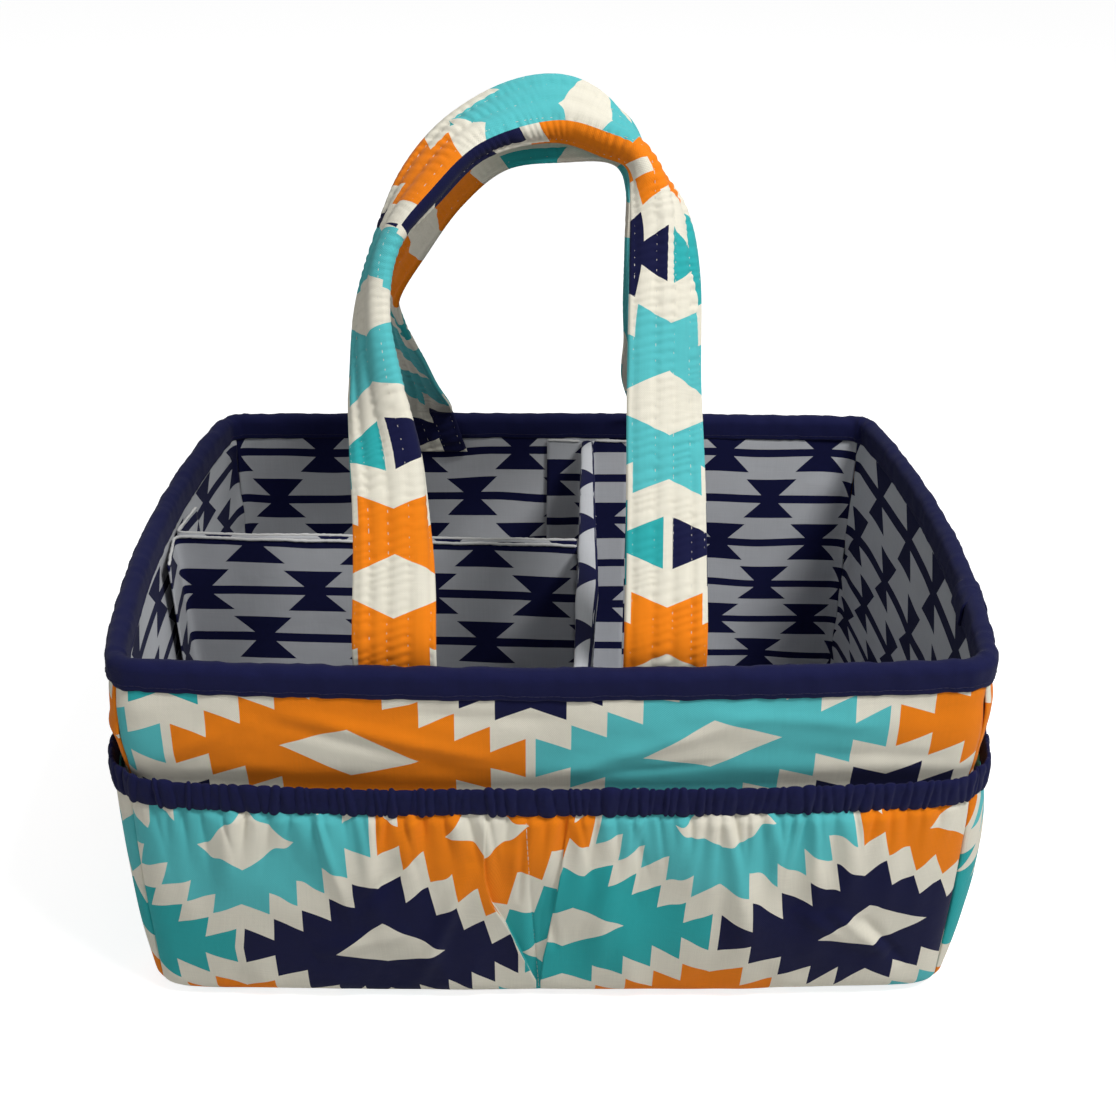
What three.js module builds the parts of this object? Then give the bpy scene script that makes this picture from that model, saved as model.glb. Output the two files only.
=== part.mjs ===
// Fabric storage caddy: an open box of print fabric and lining over stiff boards, with a bound rim,
// gathered outside pockets on elastic, a lift-out divider and two quilted strap handles.
// Millimetres. +X is to the right, +Y to the back, +Z up. The caddy stands on z = 0.

import * as THREE from "three";

// Body, measured at the rim from corner to corner
const rimWidth = 356;
const rimDepth = 267;
const bodyHeight = 172;
const baseInset = 3;
const sideBow = 11;
const frontBow = 8;
const backBow = 3;
const floorBowShare = 0.4;
const cornerReach = 14;
const bottomRound = 8;

// Layers of a wall and of the base, from the outside in
const printThickness = 1;
const boardThickness = 3;
const liningThickness = 1;
const layerGap = 0.3;
const boardCornerGap = 4;
const boardPitch = 36;
const cornerSteps = 3;

// Bias binding folded over the rim, and the lap where its two ends join
const bindingHeight = 12.7;
const bindingThickness = 1.2;
const bindingEase = 0.4;
const crownSteps = 4;
const lapLength = 20;
const lapFromCorner = 62;

// Gathered pockets outside the walls, closed by an elastic in a casing
const casingDrop = 51;
const casingHeight = 15;
const casingThickness = 4.4;
const casingPucker = 2;
const casingSection = { outside: 0.56, inside: [0.4, 0.88] };
const pocketFabric = 1;
const pocketMouth = 6;
const pocketPinch = 0.4;
const bellyShape = 0.8;
const pocketRises = [0.36, 0.68, 1];
const frontBelly = 5.5;
const leftBelly = 6.5;
const rightBelly = 12;
const gatherDepth = 1.5;
const gatherPitch = 18;
const footGather = 0.25;
const pocketSeamX = -9;

// Divider insert: a centre divider from front to back and a cross divider to the left wall
const dividerDrop = 13.5;
const dividerBoard = 3;
const dividerLeaf = 1;
const dividerBoardDrop = 2;
const dividerFloorGap = 0.3;
const centreFrontX = 11;
const centreBackX = 22;
const crossLeftY = 8;
const crossRightY = 0;
const flangeWidth = 20;
const frontFlangeWidth = 13;
const wallFlangeWidth = 30;
const flangeClearance = 0.4;
const flangeStandOff = 3;
const leafBend = 4;
const bendSteps = 4;
const leafSag = 4;
const sagPlace = 0.35;

// Quilted strap handles
const strapWidth = 33.5;
const strapThickness = 5;
const strapEdge = 2.6;
const stitchDepth = 0.7;
const channelCount = 5;
const creaseEase = 4;
const foldSteps = 24;
const strapStepsPerPlace = 2.4;
const strapEndAngles = [70, 40];
const hingeRise = 6;
const hingeGap = 0.3;
const handleEase = 0.8;
const handleEndDrop = 20;
const frontLean = 32;
const rearLean = 35.5;
const frontRise = 215;
const rearRise = 213;
const frontLegs = [-62.7, 44.7];
const rearLegs = [-65, 63];
const rearEndSlant = 4;

// Fabrics and the board between them
const printCotton = { color: 0xe9e4da, roughness: 0.9 };
const pocketCotton = { color: 0x5ec4c8, roughness: 0.9 };
const quiltedCotton = { color: 0xf08c28, roughness: 0.9 };
const navyCotton = { color: 0x1d1f5c, roughness: 0.85 };
const liningCotton = { color: 0xc9c9cc, roughness: 0.92 };
const pressedBoard = { color: 0xa89a84, roughness: 0.95 };

// Sizes that follow from the ones above
const boardDepth = printThickness + layerGap;
const liningDepth = boardDepth + boardThickness + layerGap;
const wallThickness = liningDepth + liningThickness;
const baseBoardLevel = printThickness + layerGap;
const baseLiningLevel = baseBoardLevel + boardThickness + layerGap;
const floorLevel = baseLiningLevel + liningThickness;
const bindingHalf = wallThickness / 2 + bindingEase + bindingThickness;
const bindingInnerDepth = wallThickness / 2 + bindingHalf;
const wallTop = bodyHeight - bindingThickness - 2 * bindingThickness;
const casingTop = bodyHeight - casingDrop;
const casingBottom = casingTop - casingHeight;
const dividerHeight = bodyHeight - dividerDrop;
const handleDepth = bindingInnerDepth + handleEase + strapThickness / 2;
const hingeLevel = bodyHeight + hingeRise;

// The four walls, counter-clockwise from above: unit vectors along and out of each wall
const alongFront = { half: rimWidth / 2, reach: rimDepth / 2 };
const alongSide = { half: rimDepth / 2, reach: rimWidth / 2 };
const walls = {
  front: { along: [1, 0], out: [0, -1], ...alongFront, bow: frontBow, belly: frontBelly },
  right: { along: [0, 1], out: [1, 0], ...alongSide, bow: sideBow, belly: rightBelly },
  back: { along: [-1, 0], out: [0, 1], ...alongFront, bow: backBow, belly: frontBelly },
  left: { along: [0, -1], out: [-1, 0], ...alongSide, bow: sideBow, belly: leftBelly },
};
const wallNames = Object.keys(walls);
const footLevels = [0.35, 0.65, 1].map((share) => bottomRound * share);

// How far the outside of a wall lies inside the rim line at a height: the taper and the bottom rounding
function insetAt(z) {
  const taper = baseInset * (1 - z / bodyHeight);
  const drop = Math.max(0, bottomRound - z);
  return taper + bottomRound - Math.sqrt(bottomRound ** 2 - drop ** 2);
}

// A point and tangent on the outside of a bowed wall, s millimetres along from its middle
function bowedPoint(name, s, z) {
  const { along, out, half, reach, bow } = walls[name];
  const halfHere = half - insetAt(z);
  const bowHere = bow * (floorBowShare + ((1 - floorBowShare) * z) / bodyHeight);
  const distance = reach - insetAt(z) + bowHere * (1 - (s / halfHere) ** 2);
  const slope = (-2 * bowHere * s) / halfHere ** 2;
  return {
    point: new THREE.Vector2(along[0] * s + out[0] * distance, along[1] * s + out[1] * distance),
    tangent: new THREE.Vector2(along[0] + out[0] * slope, along[1] + out[1] * slope).normalize(),
  };
}

function straightHalf(name, z) {
  return walls[name].half - insetAt(z) - cornerReach;
}

// The rounded corner after a wall, as a curve from this wall's end to the next wall's start
function cornerAfter(name, z) {
  const next = wallNames[(wallNames.indexOf(name) + 1) % wallNames.length];
  const start = bowedPoint(name, straightHalf(name, z), z);
  const end = bowedPoint(next, -straightHalf(next, z), z);
  const across = end.point.clone().sub(start.point);
  const turn = start.tangent.cross(end.tangent);
  const meet = start.point.clone().addScaledVector(start.tangent, across.cross(end.tangent) / turn);
  return new THREE.QuadraticBezierCurve(start.point, meet, end.point);
}

// A point of a wall: t runs from -1 to 1 between the middles of the wall's two corners,
// and depth is measured from the outside of the print fabric into the box
function wallPoint(name, t, z, depth) {
  const share = 1 - cornerReach / walls[name].half;
  let point;
  let tangent;
  if (Math.abs(t) <= share) {
    ({ point, tangent } = bowedPoint(name, (t / share) * straightHalf(name, z), z));
  } else {
    const index = wallNames.indexOf(name);
    const previous = wallNames[(index + wallNames.length - 1) % wallNames.length];
    const corner = cornerAfter(t > 0 ? name : previous, z);
    const along = (0.5 * (Math.abs(t) - share)) / (1 - share);
    const position = t > 0 ? along : 1 - along;
    point = corner.getPoint(position);
    tangent = corner.getTangent(position);
  }
  return new THREE.Vector3(point.x - tangent.y * depth, point.y + tangent.x * depth, z);
}

// Positions along a wall's board, which stops short of the rounded corners
function boardStations(name) {
  const { half } = walls[name];
  const end = 1 - (cornerReach + boardCornerGap) / half;
  const steps = 2 * Math.round(half / boardPitch);
  return Array.from({ length: steps + 1 }, (_, i) => end * (-1 + (2 * i) / steps));
}

// Positions round half of a corner, from the end of the straight part to the corner's middle
function turnStations(name) {
  const share = 1 - cornerReach / walls[name].half;
  return Array.from({ length: cornerSteps + 1 }, (_, i) => share + ((1 - share) * i) / cornerSteps);
}

// Positions from the middle of one corner to the middle of the next
function cornerStations(name) {
  const turn = turnStations(name);
  return [...turn.map((t) => -t).reverse(), ...boardStations(name), ...turn];
}

// The same, with a gap to the neighbouring panel at both ends
function panelStations(name) {
  const stations = cornerStations(name);
  const seam = layerGap / walls[name].half;
  stations[0] += seam;
  stations[stations.length - 1] -= seam;
  return stations;
}

// Triangles gathered into one closed geometry that faces outwards
function closedGeometry(corners) {
  let volume = 0;
  for (let i = 0; i < corners.length; i += 3) {
    volume += corners[i].dot(corners[i + 1].clone().cross(corners[i + 2]));
  }
  const positions = [];
  for (let i = 0; i < corners.length; i += 3) {
    const triangle = [corners[i], corners[i + 1], corners[i + 2]];
    if (volume < 0) triangle.reverse();
    for (const corner of triangle) positions.push(corner.x, corner.y, corner.z);
  }
  const geometry = new THREE.BufferGeometry();
  geometry.setAttribute("position", new THREE.Float32BufferAttribute(positions, 3));
  geometry.computeVertexNormals();
  return geometry;
}

// A closed solid lofted through sections that each have a near side and a far side of equal length.
// Quads on both sides are split along the same diagonal, so that neighbouring layers stay parallel
function loftBand(sections, isLoop = false) {
  const corners = [];
  const addQuad = (a, b, c, d) => corners.push(a, b, c, a, c, d);
  const rings = sections.map(({ near, far }) => [...near, ...[...far].reverse()]);
  const nearCount = sections[0].near.length;
  const spans = isLoop ? rings.length : rings.length - 1;
  for (let i = 0; i < spans; i += 1) {
    const here = rings[i];
    const next = rings[(i + 1) % rings.length];
    for (let j = 0; j < here.length; j += 1) {
      const k = (j + 1) % here.length;
      if (j < nearCount) addQuad(here[j], next[j], next[k], here[k]);
      else addQuad(next[j], next[k], here[k], here[j]);
    }
  }
  if (!isLoop) {
    const first = sections[0];
    const last = sections[sections.length - 1];
    for (let j = 0; j + 1 < first.near.length; j += 1) {
      addQuad(first.near[j], first.near[j + 1], first.far[j + 1], first.far[j]);
      addQuad(last.near[j + 1], last.near[j], last.far[j], last.far[j + 1]);
    }
  }
  return closedGeometry(corners);
}

function namedMesh(name, geometry, finish) {
  const material = new THREE.MeshStandardMaterial({ ...finish, metalness: 0 });
  const mesh = new THREE.Mesh(geometry, material);
  mesh.name = name;
  return mesh;
}

// A layer of one wall between two heights
function wallLayer(name, { depth, thickness, levels, stations }) {
  const sections = stations.map((t) => ({
    near: levels.map((z) => wallPoint(name, t, z, depth)),
    far: levels.map((z) => wallPoint(name, t, z, depth + thickness)),
  }));
  return loftBand(sections);
}

function buildWall(name) {
  const skinStations = panelStations(name);
  const upperLevels = [bodyHeight / 2, wallTop];
  const group = new THREE.Group();
  group.add(
    namedMesh(
      `outer_panel_${name}`,
      wallLayer(name, {
        depth: 0,
        thickness: printThickness,
        levels: [baseBoardLevel, ...footLevels, ...upperLevels],
        stations: skinStations,
      }),
      printCotton,
    ),
    namedMesh(
      `wall_board_${name}`,
      wallLayer(name, {
        depth: boardDepth,
        thickness: boardThickness,
        levels: [baseLiningLevel, bottomRound, ...upperLevels],
        stations: boardStations(name),
      }),
      pressedBoard,
    ),
    namedMesh(
      `lining_panel_${name}`,
      wallLayer(name, {
        depth: liningDepth,
        thickness: liningThickness,
        levels: [floorLevel + layerGap, bottomRound, ...upperLevels],
        stations: skinStations,
      }),
      liningCotton,
    ),
  );
  return group;
}

// A flat plate with the outline of the walls at a height, inset by a depth
function basePlate(outlineLevel, depth, level, thickness) {
  const outline = [];
  for (const name of wallNames) {
    for (const t of cornerStations(name).slice(0, -1)) {
      const { x, y } = wallPoint(name, t, outlineLevel, depth);
      outline.push(new THREE.Vector2(x, y));
    }
  }
  const plate = new THREE.ExtrudeGeometry(new THREE.Shape(outline), {
    depth: thickness,
    bevelEnabled: false,
  });
  plate.translate(0, 0, level);
  return plate;
}

function buildBase() {
  const group = new THREE.Group();
  group.add(
    namedMesh("base_cover", basePlate(printThickness, 0, 0, printThickness), printCotton),
    namedMesh(
      "base_board",
      basePlate(baseBoardLevel, boardDepth, baseBoardLevel, boardThickness),
      pressedBoard,
    ),
    namedMesh(
      "base_lining",
      basePlate(baseLiningLevel, liningDepth, baseLiningLevel, liningThickness),
      liningCotton,
    ),
  );
  return group;
}

// The binding's section over the wall's top edge: near is its outside, far its inside
function bindingSection(name, t, raise, thickness, height) {
  const side = (halfWidth, crown) => {
    const profile = [[-halfWidth, bodyHeight - height]];
    for (let i = 0; i <= crownSteps; i += 1) {
      const angle = Math.PI * (1 - i / crownSteps);
      const shoulder = bodyHeight - bindingHalf;
      profile.push([halfWidth * Math.cos(angle), shoulder + crown * Math.sin(angle)]);
    }
    profile.push([halfWidth, bodyHeight - height]);
    return profile.map(([across, z]) => wallPoint(name, t, z, wallThickness / 2 + across));
  };
  const outerHalf = bindingHalf + raise;
  return { near: side(outerHalf, outerHalf), far: side(outerHalf - thickness, outerHalf - thickness) };
}

function buildBinding() {
  const sections = [];
  for (const name of wallNames) {
    for (const t of cornerStations(name).slice(0, -1)) {
      sections.push(bindingSection(name, t, 0, bindingThickness, bindingHeight));
    }
  }
  const lapMiddle = -1 + lapFromCorner / walls.right.half;
  const lapHalf = lapLength / 2 / walls.right.half;
  const lapRaise = bindingEase + bindingThickness;
  const lapSections = [];
  const lapSteps = 4;
  for (let i = 0; i <= lapSteps; i += 1) {
    const t = lapMiddle + lapHalf * ((2 * i) / lapSteps - 1);
    lapSections.push(bindingSection("right", t, lapRaise, bindingThickness, bindingHeight));
  }
  const group = new THREE.Group();
  group.add(
    namedMesh("rim_binding", loftBand(sections, true), navyCotton),
    namedMesh("rim_binding_lap", loftBand(lapSections), navyCotton),
  );
  return group;
}

// Positions along a wall for its gathered fabric, crest and valley in turn, plain round the corners.
// A pocket's ends are pinched to the wall: its spread is 0 at an end and 1 in its middle
function gatherStations(name) {
  const { half } = walls[name];
  const turn = turnStations(name);
  const seam = layerGap / 2 / half;
  const splits = { front: [pocketSeamX / half], back: [0], left: [], right: [] }[name];
  const ends = [seam - 1, ...splits, 1 - seam];
  const edges = [-turn[0], ...splits, turn[0]];
  const places = turn.slice(1).map((t) => ({ t: -t, crest: -1 })).reverse();
  for (let pocket = 0; pocket + 1 < edges.length; pocket += 1) {
    const from = edges[pocket];
    const to = edges[pocket + 1];
    const steps = 2 * Math.round(((to - from) * half) / gatherPitch);
    for (let i = pocket === 0 ? 0 : 1; i <= steps; i += 1) {
      places.push({ t: from + ((to - from) * i) / steps, crest: i % 2 === 0 ? -1 : 1 });
    }
  }
  places.push(...turn.slice(1).map((t) => ({ t, crest: -1 })));
  return places.map(({ t, crest }) => {
    const at = THREE.MathUtils.clamp(t, ends[0], ends[ends.length - 1]);
    const pocket = Math.max(1, ends.findIndex((end) => end >= at - 1e-9));
    const share = (at - ends[pocket - 1]) / (ends[pocket] - ends[pocket - 1]);
    return { t: at, crest, spread: Math.max(0, Math.sin(Math.PI * share)) ** pocketPinch };
  });
}

// How far the inside of a pocket stands off the wall, from its foot (rise 0) to its mouth (rise 1)
function standOff(name, spread, rise) {
  const belly = walls[name].belly * Math.max(0, Math.sin(Math.PI * rise)) ** bellyShape;
  return layerGap + spread * (pocketMouth * rise + belly);
}

function pocketPanel(name) {
  const top = casingBottom - layerGap;
  const upperLevels = pocketRises.map((rise) => bottomRound + (top - bottomRound) * rise);
  const levels = [...footLevels, ...upperLevels];
  const sections = gatherStations(name).map(({ t, spread, crest }) => {
    const side = (extra) =>
      levels.map((z) => {
        const rise = (z - levels[0]) / (top - levels[0]);
        const fold = gatherDepth * spread * (footGather + (1 - footGather) * rise) * (1 + crest);
        return wallPoint(name, t, z, -(standOff(name, spread, rise) + fold + extra));
      });
    return { near: side(pocketFabric), far: side(0) };
  });
  return loftBand(sections);
}

// The ruched casing: an oval tube with its elastic, thicker on the crests than in the valleys
function elasticCasing(name) {
  const middleLevel = (casingBottom + casingTop) / 2;
  const sections = gatherStations(name).map(({ t, spread, crest }) => {
    const inner = standOff(name, spread, 1);
    const outer = inner + casingThickness + (casingPucker * crest) / 2;
    const at = (off, share) => wallPoint(name, t, middleLevel + (casingHeight / 2) * share, -off);
    const edge = (inner + outer) / 2;
    const { outside, inside } = casingSection;
    return {
      near: [at(edge, -1), at(outer, -outside), at(outer, outside), at(edge, 1)],
      far: [at(inner, -inside[1]), at(inner, -inside[0]), at(inner, inside[0]), at(inner, inside[1])],
    };
  });
  return loftBand(sections);
}

function buildPockets() {
  const group = new THREE.Group();
  for (const name of wallNames) {
    group.add(
      namedMesh(`pocket_${name}`, pocketPanel(name), pocketCotton),
      namedMesh(`elastic_casing_${name}`, elasticCasing(name), navyCotton),
    );
  }
  return group;
}

// A path with its inner corners rounded, given as plan points
function roundedPath(points, radius) {
  const path = [points[0]];
  for (let i = 1; i + 1 < points.length; i += 1) {
    const before = points[i - 1].clone().sub(points[i]).setLength(radius).add(points[i]);
    const after = points[i + 1].clone().sub(points[i]).setLength(radius).add(points[i]);
    path.push(...new THREE.QuadraticBezierCurve(before, points[i], after).getPoints(bendSteps));
  }
  path.push(points[points.length - 1]);
  return path;
}

// A standing sheet of even thickness along a plan path, which may change with height
function standingSheet(pathAt, levels, thickness) {
  const sides = levels.map((z) => {
    const path = pathAt(z);
    return path.map((point, i) => {
      const from = path[Math.max(i - 1, 0)];
      const to = path[Math.min(i + 1, path.length - 1)];
      const run = to.clone().sub(from).normalize();
      const offset = new THREE.Vector3(-run.y, run.x, 0).multiplyScalar(thickness / 2);
      const middle = new THREE.Vector3(point.x, point.y, z);
      return { near: middle.clone().add(offset), far: middle.clone().sub(offset) };
    });
  });
  const sections = sides[0].map((_, i) => ({
    near: sides.map((side) => side[i].near),
    far: sides.map((side) => side[i].far),
  }));
  return loftBand(sections);
}

// Plan point on the inside of a wall at a place along it, in millimetres from the wall's middle
function insidePoint(name, s, z, depth) {
  const share = 1 - cornerReach / walls[name].half;
  const point = wallPoint(name, (s * share) / straightHalf(name, z), z, depth);
  return new THREE.Vector2(point.x, point.y);
}

const flangeDepth = bindingInnerDepth + flangeClearance + dividerLeaf / 2;
const leafOffset = dividerBoard / 2 + layerGap + dividerLeaf / 2;
const dividerLevels = [
  floorLevel + dividerFloorGap,
  bottomRound,
  dividerHeight / 2,
  dividerHeight,
];
const dividerBoardLevels = [floorLevel + dividerFloorGap, dividerHeight - dividerBoardDrop];

// A leaf of the centre divider on the left (-1) or the right (1), with a flange on both end walls
function centreLeaf(side) {
  const shift = side * leafOffset;
  return standingSheet(
    (z) => {
      const sag = side > 0 ? (leafSag * z) / dividerHeight : 0;
      const front = insidePoint("front", centreFrontX + shift, z, flangeDepth);
      const back = insidePoint("back", -(centreBackX + shift), z, flangeDepth);
      return roundedPath(
        [
          insidePoint("front", centreFrontX + shift + side * frontFlangeWidth, z, flangeDepth),
          front,
          front.clone().lerp(back, sagPlace).add(new THREE.Vector2(sag, 0)),
          back,
          insidePoint("back", -(centreBackX + shift + side * flangeWidth), z, flangeDepth),
        ],
        leafBend,
      );
    },
    dividerLevels,
    dividerLeaf,
  );
}

// A leaf of the cross divider on its front (-1) or back (1) side, with a flange on the left wall
function crossLeaf(side) {
  const shift = side * leafOffset;
  const seam = leafOffset + dividerLeaf + layerGap;
  return standingSheet(
    (z) => {
      const y = crossLeftY + shift;
      const corner = insidePoint("left", -y, z, flangeDepth);
      const free = insidePoint("left", -(y + side * wallFlangeWidth), z, flangeDepth + flangeStandOff);
      const centreX = (centreFrontX + centreBackX) / 2;
      const start = new THREE.Vector2(centreX - seam, crossRightY + shift);
      return roundedPath([start, corner, free], leafBend);
    },
    dividerLevels,
    dividerLeaf,
  );
}

function buildDivider() {
  const boardEnd = flangeDepth + dividerLeaf + layerGap;
  const centreBoard = standingSheet(
    (z) => [
      insidePoint("front", centreFrontX, z, boardEnd),
      insidePoint("back", -centreBackX, z, boardEnd),
    ],
    dividerBoardLevels,
    dividerBoard,
  );
  const crossBoard = standingSheet(
    (z) => {
      const centreX = (centreFrontX + centreBackX) / 2;
      const seam = leafOffset + dividerLeaf + layerGap;
      return [
        new THREE.Vector2(centreX - seam, crossRightY),
        insidePoint("left", -crossLeftY, z, boardEnd),
      ];
    },
    dividerBoardLevels,
    dividerBoard,
  );
  const group = new THREE.Group();
  group.add(
    namedMesh("centre_divider_board", centreBoard, pressedBoard),
    namedMesh("centre_divider_leaf_left", centreLeaf(-1), liningCotton),
    namedMesh("centre_divider_leaf_right", centreLeaf(1), liningCotton),
    namedMesh("cross_divider_board", crossBoard, pressedBoard),
    namedMesh("cross_divider_leaf_front", crossLeaf(-1), liningCotton),
    namedMesh("cross_divider_leaf_back", crossLeaf(1), liningCotton),
  );
  return group;
}

// A strap's strip, inner edge first: places across it and the half thickness there, with raised
// channels between sunk stitch lines
const strapStrip = Array.from({ length: 2 * channelCount + 1 }, (_, i) => {
  const isEdge = i === 0 || i === 2 * channelCount;
  const groove = i % 2 === 0 ? stitchDepth : 0;
  return {
    across: strapWidth * (i / (2 * channelCount) - 0.5),
    half: isEdge ? strapEdge / 2 : strapThickness / 2 - groove,
  };
});

// A strap's section, folded along a crease: outerFold and innerFold turn the strip outside and
// inside the crease to the back, in degrees. Points are [out of the arch, to the front]
function foldedSection(innerWidth, outerFold, innerFold) {
  const crease = innerWidth - strapWidth / 2;
  const slopeAt = (across) => {
    const share = THREE.MathUtils.smoothstep(across - crease, -creaseEase, creaseEase);
    return THREE.MathUtils.degToRad(THREE.MathUtils.lerp(-innerFold, outerFold, share));
  };
  return strapStrip.map(({ across, half }) => {
    const place = new THREE.Vector2();
    const step = (across - crease) / foldSteps;
    for (let i = 0; i < foldSteps; i += 1) {
      const slope = slopeAt(crease + step * (i + 0.5));
      place.x += Math.cos(slope) * step;
      place.y -= Math.sin(slope) * step;
    }
    const slope = slopeAt(across);
    const face = new THREE.Vector2(Math.sin(slope), Math.cos(slope)).multiplyScalar(half);
    return { near: place.clone().add(face), far: place.clone().sub(face) };
  });
}

// Places along each handle in its own leaning plane, from the left hinge over the arch to the right:
// [across the legs' spread, up the arch's rise, strip inside the crease as a share of the strap's
// width, outer fold, inner fold, crease forward of the plane as a share of the strap's width]
const frontPlaces = [
  [-0.426, 0, 0.239, 0, 0, 0],
  [-0.419, 0.195, 0.239, 0, 45, 0],
  [-0.438, 0.363, 0.239, 8, 66, 0.03],
  [-0.521, 0.502, 0.299, 40, 68, 0.119],
  [-0.582, 0.642, 0.373, 61, 72, 0.209],
  [-0.531, 0.763, 0.403, 73, 68, 0.269],
  [-0.396, 0.87, 0.403, 72, 58, 0.269],
  [-0.196, 0.958, 0.403, 54, 48, 0.179],
  [0.102, 1, 0.403, 4, 36, 0],
  [0.326, 0.977, 0.403, 32, 44, 0.06],
  [0.452, 0.919, 0.403, 74, 30, 0.149],
  [0.507, 0.819, 0.403, 66, 8, 0.149],
  [0.507, 0.688, 0.403, 38, 0, 0.09],
  [0.48, 0.488, 0.403, 18, 0, 0.03],
  [0.47, 0.256, 0.403, 6, 0, 0],
  [0.47, 0, 0.403, 0, 0, 0],
];
const rearPlaces = [
  [-0.5, 0, 0.5, 0, 0, 0],
  [-0.516, 0.08, 0.5, 6, -6, 0],
  [-0.559, 0.178, 0.5, 42, -42, 0],
  [-0.598, 0.3, 0.5, 64, -64, 0],
  [-0.613, 0.432, 0.5, 84, -84, 0],
  [-0.594, 0.554, 0.5, 90, -90, -0.045],
  [-0.5, 0.718, 0.5, 90, -90, -0.134],
  [-0.352, 0.864, 0.5, 90, -90, -0.179],
  [-0.164, 0.972, 0.5, 90, -90, -0.149],
  [0.039, 1, 0.5, 90, -90, -0.09],
  [0.211, 0.981, 0.5, 90, -90, -0.09],
  [0.305, 0.897, 0.5, 90, -90, -0.06],
  [0.328, 0.751, 0.5, 84, -84, 0],
  [0.352, 0.554, 0.5, 62, -62, 0],
  [0.422, 0.347, 0.5, 30, -30, 0],
  [0.477, 0.16, 0.5, 6, -6, 0],
  [0.5, 0, 0.5, 0, 0, 0],
];

// One strap along its places. Each end is rounded about its hinge line
function strapSolid({ legs, rise, places }) {
  const middle = (legs[0] + legs[1]) / 2;
  const spread = legs[1] - legs[0];
  const curveOf = (toPoint) => new THREE.CatmullRomCurve3(places.map(toPoint), false, "catmullrom");
  const route = curveOf(([x, height]) => new THREE.Vector3(middle + spread * x, 0, rise * height));
  const folds = curveOf((place) => new THREE.Vector3(place[2], place[3], place[4]));
  const ridges = curveOf((place) => new THREE.Vector3(strapWidth * place[5], 0, 0));
  const sectionAt = (share, slide, flatten) => {
    const crease = route.getPoint(share);
    const isEnd = share === 0 || share === 1;
    const run = isEnd ? new THREE.Vector3(0, 0, share === 0 ? 1 : -1) : route.getTangent(share);
    const out = new THREE.Vector3(-run.z, 0, run.x);
    const fold = folds.getPoint(share);
    const ridge = ridges.getPoint(share).x;
    const toPoint = (core, place) =>
      crease
        .clone()
        .addScaledVector(run, slide)
        .addScaledVector(out, place.x)
        .add(new THREE.Vector3(0, -ridge - core - (place.y - core) * flatten, 0));
    const section = { near: [], far: [] };
    for (const { near, far } of foldedSection(strapWidth * fold.x, fold.y, fold.z)) {
      const core = (near.y + far.y) / 2;
      section.near.push(toPoint(core, near));
      section.far.push(toPoint(core, far));
    }
    return section;
  };
  const steps = Math.round((places.length - 1) * strapStepsPerPlace);
  const radius = strapThickness / 2;
  const endAngles = strapEndAngles.map(THREE.MathUtils.degToRad);
  const sections = endAngles.map((angle) => sectionAt(0, -radius * Math.sin(angle), Math.cos(angle)));
  for (let i = 0; i <= steps; i += 1) sections.push(sectionAt(i / steps, 0, 1));
  for (const angle of [...endAngles].reverse()) {
    sections.push(sectionAt(1, radius * Math.sin(angle), Math.cos(angle)));
  }
  return loftBand(sections);
}

// The sewn end of a leg: it runs down inside the binding onto the lining, a little on the slant
function handleEnd(x, y, slant) {
  const bottom = bodyHeight - handleEndDrop;
  const top = hingeLevel - strapThickness / 2 - hingeGap;
  const section = (middle, z) => ({
    near: strapStrip.map(({ across, half }) => new THREE.Vector3(middle + across, y - half, z)),
    far: strapStrip.map(({ across, half }) => new THREE.Vector3(middle + across, y + half, z)),
  });
  return loftBand([section(x + slant, bottom), section(x, top)]);
}

// Where a pair of legs meets the rim: the hinge line's distance from the caddy's middle
function hingeY(name, legs) {
  const distances = legs.map((x) => {
    const wall = insidePoint(name, name === "front" ? x : -x, bodyHeight - bindingHeight, handleDepth);
    return wall.y;
  });
  return name === "front" ? Math.max(...distances) : Math.min(...distances);
}

function buildHandle(label, handle) {
  const { wall, legs, slants, lean } = handle;
  const y = hingeY(wall, legs);
  const swing = new THREE.Group();
  swing.position.set(0, y, hingeLevel);
  swing.rotation.x = THREE.MathUtils.degToRad(wall === "front" ? -lean : lean);
  swing.add(namedMesh(`${label}_handle_strap`, strapSolid(handle), quiltedCotton));
  const group = new THREE.Group();
  group.add(
    swing,
    namedMesh(`${label}_handle_end_left`, handleEnd(legs[0], y, slants[0]), quiltedCotton),
    namedMesh(`${label}_handle_end_right`, handleEnd(legs[1], y, slants[1]), quiltedCotton),
  );
  return group;
}

const frontHandle = {
  wall: "front",
  legs: frontLegs,
  slants: [0, 0],
  places: frontPlaces,
  rise: frontRise,
  lean: frontLean,
};
const rearHandle = {
  wall: "back",
  legs: rearLegs,
  slants: [rearEndSlant, 0],
  places: rearPlaces,
  rise: rearRise,
  lean: rearLean,
};

const caddy = new THREE.Group();
caddy.add(
  buildBase(),
  ...wallNames.map(buildWall),
  buildBinding(),
  buildPockets(),
  buildDivider(),
  buildHandle("front", frontHandle),
  buildHandle("rear", rearHandle),
);

// The origin is the middle of the caddy's outline on the floor
const extent = new THREE.Box3().setFromObject(caddy, true);
const middle = extent.getCenter(new THREE.Vector3());
caddy.position.set(-middle.x, -middle.y, -extent.min.z);

export default caddy;
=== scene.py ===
# %% [markdown]
# # A fabric storage caddy, dressed in cloth
# The real caddy is sewn from printed cotton over stiff boards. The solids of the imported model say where
# each panel, pocket, divider and handle is. Here every soft piece is built again as thin cloth with its
# folds, gathers, padding and stitches, in the same place, and gets a material made only from nodes.

# %% Load the fixed frame
import math

import bpy
import numpy as np
from mathutils import Matrix


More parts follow.
